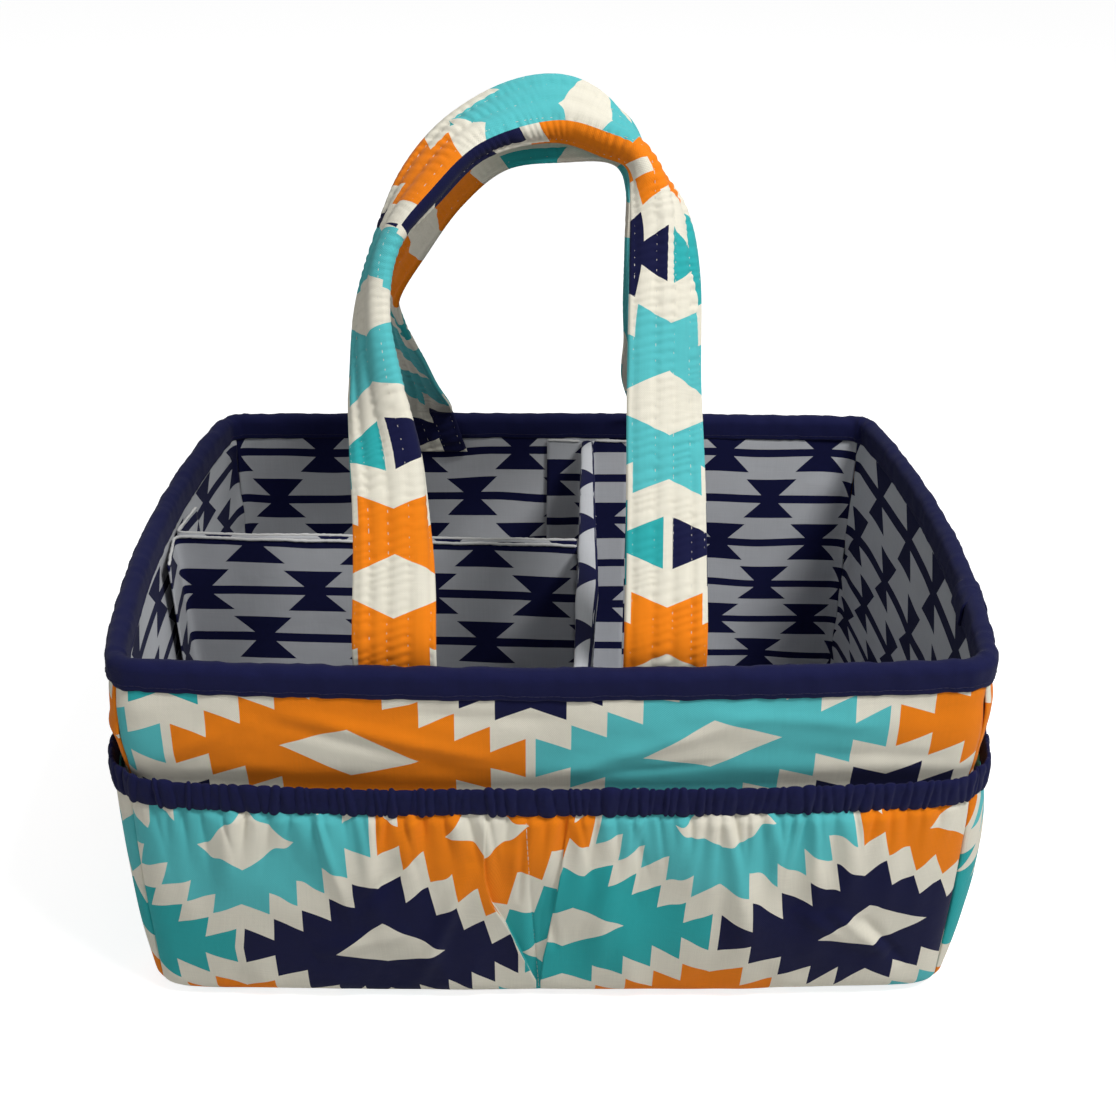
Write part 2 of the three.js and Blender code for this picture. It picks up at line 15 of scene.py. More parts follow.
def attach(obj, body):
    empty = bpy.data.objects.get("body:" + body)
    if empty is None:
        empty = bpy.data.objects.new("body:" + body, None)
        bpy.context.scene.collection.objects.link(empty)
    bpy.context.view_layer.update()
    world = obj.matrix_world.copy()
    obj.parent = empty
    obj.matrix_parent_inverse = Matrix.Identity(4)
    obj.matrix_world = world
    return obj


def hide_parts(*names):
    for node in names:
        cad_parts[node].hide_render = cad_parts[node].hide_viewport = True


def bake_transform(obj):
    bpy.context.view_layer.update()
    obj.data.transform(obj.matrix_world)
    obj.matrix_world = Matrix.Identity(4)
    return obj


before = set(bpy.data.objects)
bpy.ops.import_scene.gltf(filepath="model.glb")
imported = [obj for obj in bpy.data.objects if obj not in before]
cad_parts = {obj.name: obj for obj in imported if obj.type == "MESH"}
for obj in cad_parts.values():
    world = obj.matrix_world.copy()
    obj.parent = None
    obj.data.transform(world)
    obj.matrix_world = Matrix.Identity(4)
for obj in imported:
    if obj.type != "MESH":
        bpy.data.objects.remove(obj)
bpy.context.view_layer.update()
print("solids in the frame:", len(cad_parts))

# %% [markdown]
# ## The body's own shape
# All lengths below are millimetres and the same as the solids' own. A wall bows outwards, leans a little
# and meets its neighbour in a rounded corner, so a place on the body is best given as: which wall, how
# far along it (-1 to 1 between the middles of its two corners), how high, and how deep inside the
# outside face. One function turns that into a point, and every layer of cloth is laid with it.

# %% Sizes of the body
RIM_WIDTH, RIM_DEPTH, BODY_HEIGHT = 356.0, 267.0, 172.0
BASE_INSET, FLOOR_BOW_SHARE = 3.0, 0.4
CORNER_REACH, BOTTOM_ROUND = 14.0, 8.0
CLOTH, LAYER_GAP, WALL_THICKNESS = 1.0, 0.3, 5.6
FRAME_SHIFT = np.array([-0.0019387, 0.0018334, 0.0])
FRONT_HALF, SIDE_HALF = RIM_WIDTH / 2, RIM_DEPTH / 2
WALLS = {
    "front": dict(along=(1, 0), out=(0, -1), half=FRONT_HALF, reach=SIDE_HALF, bow=8.0, belly=5.5),
    "right": dict(along=(0, 1), out=(1, 0), half=SIDE_HALF, reach=FRONT_HALF, bow=11.0, belly=12.0),
    "back": dict(along=(-1, 0), out=(0, 1), half=FRONT_HALF, reach=SIDE_HALF, bow=3.0, belly=5.5),
    "left": dict(along=(0, -1), out=(-1, 0), half=SIDE_HALF, reach=FRONT_HALF, bow=11.0, belly=6.5),
}
WALL_NAMES = list(WALLS)
HALF = {name: wall["half"] for name, wall in WALLS.items()}
NUMBER = {name: i for i, name in enumerate(WALL_NAMES)}
print("rim corner to corner", RIM_WIDTH, "x", RIM_DEPTH, "mm, wall", WALL_THICKNESS, "mm thick")

# %% Small helpers for paths and places
def unit(vectors):
    return vectors / np.maximum(np.linalg.norm(vectors, axis=-1, keepdims=True), 1e-9)


def travel(path):
    """How far along a path of points each point is."""
    return np.append(0, np.cumsum(np.linalg.norm(np.diff(path, axis=0), axis=1)))


def walk(path, along, where):
    """Points at given distances along a path."""
    return np.stack([np.interp(where, along, column) for column in path.T], -1)


def together(*values):
    """Arrays side by side on a new last axis, stretched to one shape."""
    return np.stack(np.broadcast_arrays(*values), -1)


def rounded(start, corner, end, k):
    """A curve that leaves start towards corner and arrives at end."""
    return (1 - k) ** 2 * start + 2 * k * (1 - k) * corner + k * k * end


def smooth(x, low, high):
    """0 below low, 1 above high, and a soft step between."""
    k = np.clip((x - low) / (high - low), 0, 1)
    return k * k * (3 - 2 * k)


def hill(x, width):
    """1 at zero, and falling away on both sides."""
    return np.exp(-((x / width) ** 2))


# %% Places on the walls
def inset_at(z):
    """How far the outside lies inside the rim line at a height: the lean and the rounded foot."""
    drop = np.maximum(0.0, BOTTOM_ROUND - z)
    return BASE_INSET * (1 - z / BODY_HEIGHT) + BOTTOM_ROUND - np.sqrt(BOTTOM_ROUND**2 - drop**2)


def turn(a, b):
    return a[..., 0] * b[..., 1] - a[..., 1] * b[..., 0]


def bowed(name, s, z):
    """Plan point and direction on the outside of a bowed wall, s along from its middle."""
    wall = WALLS[name]
    half = wall["half"] - inset_at(z)
    bow = wall["bow"] * (FLOOR_BOW_SHARE + (1 - FLOOR_BOW_SHARE) * z / BODY_HEIGHT)
    reach = wall["reach"] - inset_at(z) + bow * (1 - (s / half) ** 2)
    slope = -2 * bow * s / half**2
    along, out = np.array(wall["along"], float), np.array(wall["out"], float)
    return along * s[..., None] + out * reach[..., None], unit(along + out * slope[..., None])


def straight_half(name, z):
    return HALF[name] - inset_at(z) - CORNER_REACH


def on_wall(name, t, z, depth):
    """Points of a wall. t is -1 to 1, z the height, depth how far inside the outside face."""
    t, z, depth = (np.array(x, float) for x in np.broadcast_arrays(t, z, depth))
    share = 1 - CORNER_REACH / HALF[name]
    point, run = bowed(name, np.clip(t / share, -1, 1) * straight_half(name, z), z)
    for side in (1, -1):
        here = t * side > share
        if not here.any():
            continue
        first = name if side > 0 else WALL_NAMES[NUMBER[name] - 1]
        second = WALL_NAMES[(NUMBER[first] + 1) % 4]
        start, leave = bowed(first, straight_half(first, z[here]), z[here])
        end, arrive = bowed(second, -straight_half(second, z[here]), z[here])
        meet = start + leave * (turn(end - start, arrive) / turn(leave, arrive))[..., None]
        k = 0.5 * (np.abs(t[here]) - share) / (1 - share)
        k = (k if side > 0 else 1 - k)[..., None]
        point[here] = rounded(start, meet, end, k)
        run[here] = unit((1 - k) * (meet - start) + k * (end - meet))
    point = point + np.stack([-run[..., 1], run[..., 0]], -1) * depth[..., None]
    return np.concatenate([point, z[..., None]], -1)


def cover(name, spacing, across, margin=LAYER_GAP):
    """A grid along a wall: how far along as t and in millimetres, and the values across it."""
    ends = 1 - margin / HALF[name]
    along = np.linspace(-ends, ends, int(HALF[name] / spacing))
    t, other = np.meshgrid(along, across, indexing="ij")
    return t, t * HALF[name], other


print("middle of the front rim:", on_wall("front", 0, BODY_HEIGHT, 0).round(1))

# %% [markdown]
# ## From a grid of points to a piece of cloth
# A sewn piece is a sheet: a grid of points with quads between them. Its UV map, called "cloth", holds the
# place of each point on the flat printed cloth in millimetres, so a pattern in a material keeps its real
# size and bends with the folds. A Solidify modifier gives the sheet its thickness.

# %% Turn a grid into a mesh and a piece
HEAD, TAIL = slice(0, -1), slice(1, None)
CORNERS = [(HEAD, HEAD), (TAIL, HEAD), (TAIL, TAIL), (HEAD, TAIL)]


def grid_mesh(name, grid, cloth_at, ring=False, loop=False, flip=False):
    """Quads over grid[i, j]. ring joins the last column to the first, loop the last row to the first.
    cloth_at has one more column or row where the grid is joined up. It can also be given for the four
    corners of each quad, where the print has to break between two quads."""
    index = np.arange(grid[..., 0].size).reshape(grid.shape[:2])
    if ring:
        index = np.concatenate([index, index[:, :1]], 1)
    if loop:
        index = np.concatenate([index, index[:1]], 0)
    corners = CORNERS[::-1] if flip else CORNERS
    quads = np.stack([index[c] for c in corners], -1).reshape(-1, 4)
    if cloth_at.ndim == 3:
        cloth_at = np.stack([cloth_at[c] for c in corners], 2)
    mesh = bpy.data.meshes.new(name)
    mesh.vertices.add(grid[..., 0].size)
    points = grid.reshape(-1, 3) / 1000 + FRAME_SHIFT
    mesh.vertices.foreach_set("co", points.astype(np.float32).ravel())
    mesh.loops.add(quads.size)
    mesh.loops.foreach_set("vertex_index", quads.ravel())
    mesh.polygons.add(len(quads))
    mesh.polygons.foreach_set("loop_start", np.arange(0, quads.size, 4))
    mesh.update(calc_edges=True)
    mesh.polygons.foreach_set("use_smooth", np.ones(len(quads), bool))
    layer = mesh.uv_layers.new(name="cloth")
    layer.data.foreach_set("uv", cloth_at.astype(np.float32).ravel())
    mesh.validate()
    return mesh


def add_piece(name, mesh, material, body="caddy", thickness=0.0, stands_for=(), slot=None):
    """Put a mesh in the scene as a piece that rides on a body and stands for its solids."""
    piece = bpy.data.objects.new(name, mesh)
    bpy.context.scene.collection.objects.link(piece)
    piece.data.materials.append(material)
    if thickness:
        solid = piece.modifiers.new("cloth thickness", "SOLIDIFY")
        solid.thickness = thickness / 1000
        solid.offset = -1
    if body:
        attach(piece, body)
    if stands_for:
        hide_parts(*stands_for)
    return piece


def sew(name, grid, cloth_at, material, ring=False, loop=False, flip=False, **about):
    """A grid of points as a piece of cloth. about is what add_piece has to know."""
    piece = add_piece(name, grid_mesh(name, grid, cloth_at, ring, loop, flip), material, **about)
    a, b, c, d = (grid[corner] for corner in CORNERS)
    area = np.linalg.norm(np.cross(c - a, d - b), axis=-1).sum() / 2e6
    print(name, len(piece.data.polygons), "quads,", round(area, 4), "square metres")
    return piece


# %% [markdown]
# ## Folds that aren't the same twice
# Cloth is never quite flat. Three kinds of relief cover this caddy: a soft cloud of shallow waves, long
# creases between two places, and gathers that fan out from a stitched edge. Each comes from numbers with
# a fixed seed, so the caddy looks the same every time the script is run.

# %% Soft relief
KNOTS = 61


def cloud(u, v, size_u, size_v, seed):
    """Smooth random relief between -1 and 1, with bumps about size_u by size_v across."""
    knots = np.random.default_rng(seed).uniform(-1, 1, (KNOTS, KNOTS))
    x, y = np.asarray(u) / size_u, np.asarray(v) / size_v
    i, j = np.floor(x).astype(int), np.floor(y).astype(int)
    fx, fy = smooth(x - i, 0, 1), smooth(y - j, 0, 1)
    near, far = (knots[i % KNOTS, row % KNOTS] * (1 - fx) + knots[(i + 1) % KNOTS, row % KNOTS] * fx
                 for row in (j, j + 1))
    return near * (1 - fy) + far * fy


def crease(u, v, start, end, height, width):
    """A ridge (or a valley, if height is negative) along a line, fading out at both ends."""
    (u0, v0), (u1, v1) = start, end
    long = (u1 - u0) ** 2 + (v1 - v0) ** 2
    k = ((u - u0) * (u1 - u0) + (v - v0) * (v1 - v0)) / long
    off = np.abs((u - u0) * (v1 - v0) - (v - v0) * (u1 - u0)) / math.sqrt(long)
    fade = np.clip(np.sin(np.pi * np.clip(k, 0, 1)), 0, 1) ** 0.6
    return height * fade * hill(off, width)


print("relief at one place:", round(float(cloud(10.0, 20.0, 30.0, 30.0, 1)), 3))

# %% [markdown]
# ## Sewing thread
# A seam shows as a row of short stitches: the thread lies on the cloth and dives into it at each needle
# hole. One thin tube that dips below the surface once a stitch looks just like that.

# %% Stitches along a path
THREAD, THREAD_SIDES, STITCH = 0.16, 5, 2.7
STITCH_PHASES = np.array([0.0, 0.1, 0.3, 0.7, 0.9])
STITCH_LIFTS = np.array([-1.8, 0.4, 0.9, 0.9, 0.4])


def stitch_grid(path, normals):
    """A tube along path (points in mm) that dives along the normals between stitches."""
    along = travel(path)
    count = max(1, int(round(along[-1] / STITCH)))
    where = ((np.arange(count)[:, None] + STITCH_PHASES) * along[-1] / count).ravel()
    centre, normal = walk(path, along, where), unit(walk(normals, along, where))
    side = unit(np.cross(np.gradient(centre, axis=0), normal))
    centre = centre + normal * (np.tile(STITCH_LIFTS, count) * THREAD)[:, None]
    angle = 2 * np.pi * np.arange(THREAD_SIDES)[:, None] / THREAD_SIDES
    return centre[:, None] + (normal[:, None] * np.cos(angle) + side[:, None] * np.sin(angle)) * THREAD


def thread_mesh(name, runs):
    """One mesh from several (path, normals) runs of stitches, each closed at its ends."""
    points, faces, base = [], [], 0
    for path, normals in runs:
        grid = stitch_grid(path, normals)
        points.append(grid.reshape(-1, 3) / 1000 + FRAME_SHIFT)
        index = base + np.arange(grid[..., 0].size).reshape(grid.shape[:2])
        wrap = np.concatenate([index, index[:, :1]], 1)
        quads = np.stack([wrap[HEAD, HEAD], wrap[HEAD, TAIL], wrap[TAIL, TAIL], wrap[TAIL, HEAD]], -1)
        faces += quads.reshape(-1, 4).tolist() + [index[0, ::-1].tolist(), index[-1].tolist()]
        base += index.size
    mesh = bpy.data.meshes.new(name)
    mesh.from_pydata(np.concatenate(points).tolist(), [], faces)
    mesh.polygons.foreach_set("use_smooth", np.ones(len(mesh.polygons), bool))
    return mesh


print("a stitch is", STITCH, "mm long, its thread", 2 * THREAD, "mm thick")

# %% [markdown]
# ## Materials from nodes
# Six finishes cover the caddy: printed cotton, lining cotton, plain navy cotton, the board inside the
# walls, thread, and the cut edges of cloth. Effects that several of them share are node groups with named
# inputs and outputs. A wire is the output of a node. Adding or multiplying wires puts in a Math node, so a
# formula for the nodes reads like any other formula.

# %% Wires and nodes
class Wire:
    """A node's output, with the arithmetic that makes Math nodes from it."""

    def __init__(self, tree, socket):
        self.tree, self.socket = tree, socket

    def math(self, operation, *others):
        node = self.tree.nodes.new("ShaderNodeMath")
        node.operation = operation
        for socket, value in zip(node.inputs, (self, *others)):
            plug(socket, value)
        return Wire(self.tree, node.outputs[0])

    def __add__(self, other):
        return self.math("ADD", other)

    def __sub__(self, other):
        return self.math("SUBTRACT", other)

    def __mul__(self, other):
        return self.math("MULTIPLY", other)

    def __truediv__(self, other):
        return self.math("DIVIDE", other)

    def __lt__(self, other):
        return self.math("LESS_THAN", other)


def plug(socket, value):
    """Lead a wire into an input, or set a number or a colour on it."""
    if isinstance(value, Wire):
        value.tree.links.new(value.socket, socket)
    else:
        socket.default_value = value


def add_node(tree, kind, inputs):
    """A new node with its inputs, and the wire that leaves it."""
    node = tree.nodes.new("ShaderNode" + kind)
    for label, value in inputs.items():
        plug(node.inputs[label], value)
    return Wire(tree, node.outputs[0])


def mix_colours(tree, share, first, second, blend="MIX"):
    node = tree.nodes.new("ShaderNodeMix")
    node.data_type = "RGBA"
    node.blend_type = blend
    for index, value in ((0, share), (6, first), (7, second)):
        plug(node.inputs[index], value)
    return Wire(tree, node.outputs[2])


def new_group(name, inputs, outputs):
    """A shader node group with named sockets, the wires that enter it, and its outputs.
    inputs are (name, kind, value)."""
    group = bpy.data.node_groups.new(name, "ShaderNodeTree")
    for label, kind, value in inputs:
        socket = group.interface.new_socket(name=label, in_out="INPUT", socket_type=kind)
        if value is not None:
            socket.default_value = value
    for label, kind in outputs:
        group.interface.new_socket(name=label, in_out="OUTPUT", socket_type=kind)
    entry, leave = group.nodes.new("NodeGroupInput"), group.nodes.new("NodeGroupOutput")
    return group, [Wire(group, entry.outputs[label]) for label, _, _ in inputs], leave.inputs


def place_group(tree, group, **values):
    """Use a group in a tree. Gives its outputs as wires, by name."""
    node = tree.nodes.new("ShaderNodeGroup")
    node.node_tree = group
    for label, value in values.items():
        plug(node.inputs[label.replace("_", " ")], value)
    return {output.name: Wire(tree, output) for output in node.outputs}


def split(place):
    """The first two parts of a place, as wires."""
    node = place.tree.nodes.new("ShaderNodeSeparateXYZ")
    plug(node.inputs[0], place)
    return [Wire(place.tree, node.outputs[k]) for k in (0, 1)]


def nearest(value, pitch):
    """Which repeat of a pattern a place is in, and how far it is from the middle of that repeat."""
    cell = (value / pitch).math("ROUND")
    return cell, (value - cell * pitch).math("ABSOLUTE")


def linear(red, green, blue):
    """A colour as seen on screen (0 to 255), turned into Blender's linear light."""
    light = ((c / 255 / 12.92 if c <= 10 else ((c / 255 + 0.055) / 1.055) ** 2.4)
             for c in (red, green, blue))
    return (*light, 1.0)


def dimmed(colour, share):
    return (*(c * share for c in colour[:3]), 1.0)


# %% [markdown]
# ### The stepped diamond print
# The outside cotton has a common woven-rug pattern: long diamonds with stepped, saw-toothed edges and a
# small plain diamond in the heart, in rows that are staggered like bricks. The formula folds the cloth
# into one cell, measures how tall the diamond is in that column, and compares.

# %% One lattice of stepped diamonds
PRINT_PITCH, ROW_PITCH = 147.0, 56.0
COLUMN, COLUMNS, DIAMOND_HALF, STEP_DOWN, TOOTH = 14.3, 5.0, 30.4, 6.5, 6.0
HEART_ALONG, HEART_UP = 28.0, 12.6
F, C, V = "NodeSocketFloat", "NodeSocketColor", "NodeSocketVector"

diamond_row, (across, up), put = new_group(
    "stepped diamond row", [("Across", F, 0.0), ("Along", F, 0.0)],
    [("Diamond", F), ("Heart", F), ("Odd", F)])
cell_across, from_across = nearest(across, PRINT_PITCH)
cell_up, from_up = nearest(up, 2 * ROW_PITCH)
columns = from_across / COLUMN
step = columns.math("FLOOR")
height = (columns - step) * TOOTH - step * STEP_DOWN + DIAMOND_HALF
plug(put["Diamond"], (from_up < height) * (columns < COLUMNS))
plug(put["Heart"], from_across / HEART_ALONG + from_up / HEART_UP < 1.0)
plug(put["Odd"], (cell_across + cell_up).math("FLOORED_MODULO", 2.0))
print("print repeats every", PRINT_PITCH, "by", 4 * ROW_PITCH, "mm")

# %% The whole print: two staggered rows in four inks
diamond_print, (place, ground, light, warm, teal, dark), put = new_group(
    "stepped diamond print",
    [("Place", V, None), ("Ground", C, (1, 1, 1, 1)), ("Light ink", C, None), ("Warm ink", C, None),
     ("Teal ink", C, None), ("Dark ink", C, None)],
    [("Colour", C), ("Inked", F)])
(u, v), coloured, inked = split(place), ground, []
for moved, even_ink, odd_ink in ((0.0, light, warm), (0.5, teal, dark)):
    row = place_group(diamond_print, diamond_row, Across=u - moved * PRINT_PITCH,
                      Along=v - moved * 2 * ROW_PITCH)
    inked.append(row["Diamond"] - row["Diamond"] * row["Heart"])
    ink = mix_colours(diamond_print, row["Odd"], even_ink, odd_ink)
    coloured = mix_colours(diamond_print, inked[-1], coloured, ink)
plug(put["Colour"], coloured)
plug(put["Inked"], inked[0].math("MAXIMUM", inked[1]))

# %% [markdown]
# ### The bow-tie lining print
# The lining has narrow stripes with a bow tie hung on each at even steps, every other row moved by half a
# step. A bow tie is the place where the distance from the stripe gives the width.

# %% Bow ties on stripes
TIE_PITCH, TIE_ROWS, TIE_HALF, STRIPE_HALF = 54.2, 26.4, 11.2, 2.3
KNOT_HALF, WING_SLOPE = 5.0, 1.02

tie_print, (place, ground, ink), put = new_group(
    "bow tie stripes", [("Place", V, None), ("Ground", C, None), ("Ink", C, None)],
    [("Colour", C), ("Inked", F)])
u, v = split(place)
row, from_row = nearest(v, TIE_ROWS)
_, from_tie = nearest(u + row.math("FLOORED_MODULO", 2.0) * (TIE_PITCH / 2), TIE_PITCH)
wing = (from_row - STRIPE_HALF).math("MAXIMUM", 0.0) * WING_SLOPE + KNOT_HALF
tie = (from_tie < wing) * (from_row < TIE_HALF)
inked = tie.math("MAXIMUM", from_row < STRIPE_HALF)
plug(put["Colour"], mix_colours(tie_print, inked, ground, ink))
plug(put["Inked"], inked)

# %% [markdown]
# ### Weave, slubs and handling
# Plain cotton is woven over and under, with threads 0.4 mm apart. Some threads are thicker, the ink takes
# unevenly, and some places rub a little paler. These live in two groups: one gives the height of the
# weave and the unevenness of its threads, the other a slow mottle for wear.

# %% Plain weave, and handling: rubbed places and soft creases
THREAD_PITCH, SLUB_FINE, SLUB_LONG = 0.42, 2.2, 0.06

plain_weave, (place, thread), put = new_group(
    "plain weave", [("Place", V, None), ("Thread", F, THREAD_PITCH)], [("Height", F), ("Uneven", F)])
over, under = ((way / thread * math.pi).math("SINE") for way in split(place))
plug(put["Height"], over * under * 0.5 + 0.5)
slubs = []
for stretch in ((SLUB_LONG, SLUB_FINE, 1.0), (SLUB_FINE, SLUB_LONG, 1.0)):
    node = plain_weave.nodes.new("ShaderNodeVectorMath")
    node.operation = "MULTIPLY"
    plug(node.inputs[0], place)
    plug(node.inputs[1], stretch)
    stretched = Wire(plain_weave, node.outputs[0])
    slubs.append(add_node(plain_weave, "TexNoise", {"Vector": stretched, "Scale": 1.0, "Detail": 2.0}))
plug(put["Uneven"], (slubs[0] + slubs[1]) * 0.5)

handling, (place, size), put = new_group(
    "handling", [("Place", V, None), ("Size", F, 18.0)], [("Rubbed", F), ("Crumple", F)])
for label, scale, detail, rough in (("Rubbed", 1.0, 3.0, 0.6), ("Crumple", 5.0, 4.0, 0.55)):
    noise = {"Vector": place, "Scale": size * scale, "Detail": detail, "Roughness": rough}
    plug(put[label], add_node(handling, "TexNoise", noise))
print("node groups:", sorted(g.name for g in bpy.data.node_groups))

# %% [markdown]
# ### Cotton
# All the cottons are one recipe: a colour, the weave on top, a slow mottle, high roughness with a soft
# sheen, and a bump from the weave and small crumples. Only the colour and the strengths change.

# %% The cotton recipe
OFF_WHITE, TURQUOISE, TEAL = linear(236, 231, 214), linear(90, 194, 198), linear(48, 174, 176)
ORANGE, NAVY, GREY = linear(246, 134, 20), linear(18, 21, 62), linear(196, 198, 202)


def new_material(name, handled_size):
    """A material, its tree, its surface's inputs, and the handling of the piece that wears it."""
    material = bpy.data.materials.new(name)
    material.use_nodes = True
    tree = material.node_tree
    where = Wire(tree, tree.nodes.new("ShaderNodeTexCoord").outputs["Object"])
    worn = place_group(tree, handling, Place=where, Size=handled_size)
    return material, tree, tree.nodes["Principled BSDF"].inputs, worn


def cotton(name, paint, roughness=0.88, sheen=0.06, weave=0.5, crumple=0.35, mottle=0.12):
    """paint(tree, place) gives the colour and how inked it is. The rest is alike for all cottons."""
    material, tree, surface, worn = new_material(name, 22.0)
    cloth = tree.nodes.new("ShaderNodeUVMap")
    cloth.uv_map = "cloth"
    cloth = Wire(tree, cloth.outputs[0])
    threads = place_group(tree, plain_weave, Place=cloth, Thread=THREAD_PITCH)
    colour, inked = paint(tree, cloth)
    rubbed = worn["Rubbed"] - 0.5
    shade = (threads["Uneven"] - 0.5) * (mottle * 2.2) + 1.0
    # Painted shade: the weave's height also tints the colour, its low threads a little darker and its high
    # ones a little lighter.
    shade = shade + (threads["Height"] - 0.5) * 0.08 + rubbed * mottle
    grey = add_node(tree, "CombineColor", {0: shade, 1: shade, 2: shade})
    relief = worn["Crumple"] * (crumple * 6) + threads["Height"] * weave
    bump = add_node(tree, "Bump", {"Strength": 0.55, "Distance": 0.0003, "Height": relief})
    for label, value in (
            ("Base Color", mix_colours(tree, 1.0, colour, grey, "MULTIPLY")),
            ("Roughness", rubbed * 0.16 + roughness - inked * 0.05), ("Sheen Weight", sheen),
            ("Sheen Roughness", 0.5), ("Specular IOR Level", 0.12), ("Normal", bump)):
        plug(surface[label], value)
    return material


def paint_diamonds(tree, place):
    out = place_group(tree, diamond_print, Place=place, Ground=OFF_WHITE, Light_ink=TURQUOISE,
                      Warm_ink=ORANGE, Teal_ink=TEAL, Dark_ink=NAVY)
    return out["Colour"], out["Inked"]


def paint_ties(tree, place):
    out = place_group(tree, tie_print, Place=place, Ground=GREY, Ink=NAVY)
    return out["Colour"], out["Inked"]


def paint_navy(tree, place):
    colour = linear(24, 27, 72)
    soft = place_group(tree, handling, Place=place, Size=0.11)["Rubbed"]
    return mix_colours(tree, soft, dimmed(colour, 0.8), colour), soft


print_cotton = cotton("print cotton", paint_diamonds)
quilted_cotton = cotton("quilted print cotton", paint_diamonds, roughness=0.84, sheen=0.08, crumple=0.5)
lining_cotton = cotton("lining cotton", paint_ties, roughness=0.92, sheen=0.04)
navy_cotton = cotton("navy cotton", paint_navy, roughness=0.8, sheen=0.05, weave=0.8, mottle=0.2)


# %% Board, thread and raw edges
def plain_finish(name, colour, roughness, size, contrast, depth):
    """A simple mottled finish for the felted board, sewing thread and cut edges. The mottle is darker where
    the crumple bump dips, so it is partly real tone and partly painted shade.
    """
    material, tree, surface, worn = new_material(name, size)
    # Painted shade over a real mottle: the colour dims where the crumple relief of the bump below dips.
    plug(surface["Base Color"], mix_colours(tree, worn["Crumple"], dimmed(colour, 1 - contrast), colour))
    plug(surface["Roughness"], worn["Rubbed"] * 0.1 + (roughness - 0.05))
    relief = {"Strength": 0.5, "Distance": depth, "Height": worn["Crumple"]}
    plug(surface["Normal"], add_node(tree, "Bump", relief))
    return material


pressed_board = plain_finish("pressed board", linear(168, 154, 132), 0.95, 160.0, 0.35, 0.0004)
white_thread = plain_finish("white thread", linear(232, 228, 216), 0.7, 400.0, 0.25, 0.0001)
navy_thread = plain_finish("navy thread", linear(22, 22, 70), 0.65, 400.0, 0.3, 0.0001)
raw_cotton = plain_finish("raw cotton edge", linear(214, 214, 212), 0.92, 500.0, 0.2, 0.0001)
for name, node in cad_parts.items():
    if "board" in name:
        node.data.materials.clear()
        node.data.materials.append(pressed_board)
print("materials:", len(bpy.data.materials))

# %% [markdown]
# ## The outside panels
# The front shows only a band of each panel, between the binding and the gathered pocket. The board behind
# is flat, but the cotton over it is loose: it puffs out a little and falls into long slanting creases.
# The print is drawn where it lies on the real panel, so the table below gives the height of its row.

# %% Cloth on the outside of the walls
WALL_TOP, CASING_TOP, CASING_BOTTOM = 168.4, 121.0, 106.0
THICK, THIN, PRINT_START, PRINT_TURN = 0.9, 0.8, 229.6, 311.5
CREASE_LEVEL, CREASE_COUNT = 138, 7
BAND_FROM, BAND_TO, PUFF, PUFF_FOOT, PUFF_SPAN = (119, 128), (150, 161), 2.4, 116, 46
BAND_ROW, BAND_STRETCH = 137, 1.05
ROW_ALONG = [-153, -109, -83, -57, -13, 36, 64, 92, 138, 178]
ROW_HEIGHT = [135.6, 136.9, 133.9, 129.5, 131.5, 132.0, 138.5, 141.5, 144.7, 147.0]
FRONT_CREASES = [
    ((-112, 153), (-22, 131), 1.5, 3.4), ((-118, 148), (-40, 127), -0.9, 3.0),
    ((2, 124), (86, 153), 1.4, 4.2), ((60, 154), (134, 145), 1.0, 3.4), ((12, 121), (72, 129), -1.0, 2.6),
    ((-60, 152), (10, 150), -0.6, 3.0), ((-165, 126), (-120, 150), 0.9, 4.0),
    ((95, 133), (165, 128), -0.8, 3.6),
]
PANEL_LEVELS = np.concatenate([np.linspace(1.4, 8, 6), np.linspace(12, 112, 22),
                               np.linspace(114, WALL_TOP, 46)])


def outside_relief(name, s, z):
    """How far the outside cloth stands out of its plain wall, in millimetres."""
    band = smooth(z, *BAND_FROM) * (1 - smooth(z, *BAND_TO))
    half, seed = HALF[name], 11 * (1 + NUMBER[name])
    waves = 0.9 * cloud(s + z * 0.7, z, 46, 15, seed) + 0.45 * cloud(s, z, 15, 9, seed + 1)
    relief = PUFF * np.sin(np.pi * np.clip((z - PUFF_FOOT) / PUFF_SPAN, 0, 1)) + band * waves
    if name == "front":
        relief = relief + sum(crease(s, z, *c) for c in FRONT_CREASES) * band
    else:
        rng = np.random.default_rng(seed)
        for _ in range(CREASE_COUNT):
            start, rise = rng.uniform(-half, half - 60), rng.uniform(-14, 14)
            line = (start, CREASE_LEVEL - rise), (start + rng.uniform(50, 90), CREASE_LEVEL + rise)
            relief = relief + band * crease(s, z, *line, rng.uniform(-0.9, 1.4), rng.uniform(2.8, 4.5))
    return np.maximum(relief, -0.15) + 0.1


def band_print(name, s, z):
    """Where each point of an outside panel lies on the printed cloth."""
    row = BAND_ROW + 4 * np.sin(s / 45 + NUMBER[name])
    if name == "front":
        row = np.interp(s, ROW_ALONG, ROW_HEIGHT)
    return together(s + PRINT_START + PRINT_TURN * NUMBER[name], (z - row) * BAND_STRETCH)


for name in WALL_NAMES:
    t, s, z = cover(name, 1.1, PANEL_LEVELS)
    grid = on_wall(name, t, z, -outside_relief(name, s, z))
    piece = sew(f"outside_cloth_{name}", grid, band_print(name, s, z), print_cotton,
                thickness=THICK, stands_for=[f"outer_panel_{name}"], slot="print_cotton")
    flat = (2 * HALF[name] / 1000, 0.17)

# %% [markdown]
# ## The lining
# Inside, a lighter cotton with bow ties hangs down the boards and is sewn in at the corners, where it
# puckers. The rows of the print sag a little towards the floor. The same grid is laid on the inner face.

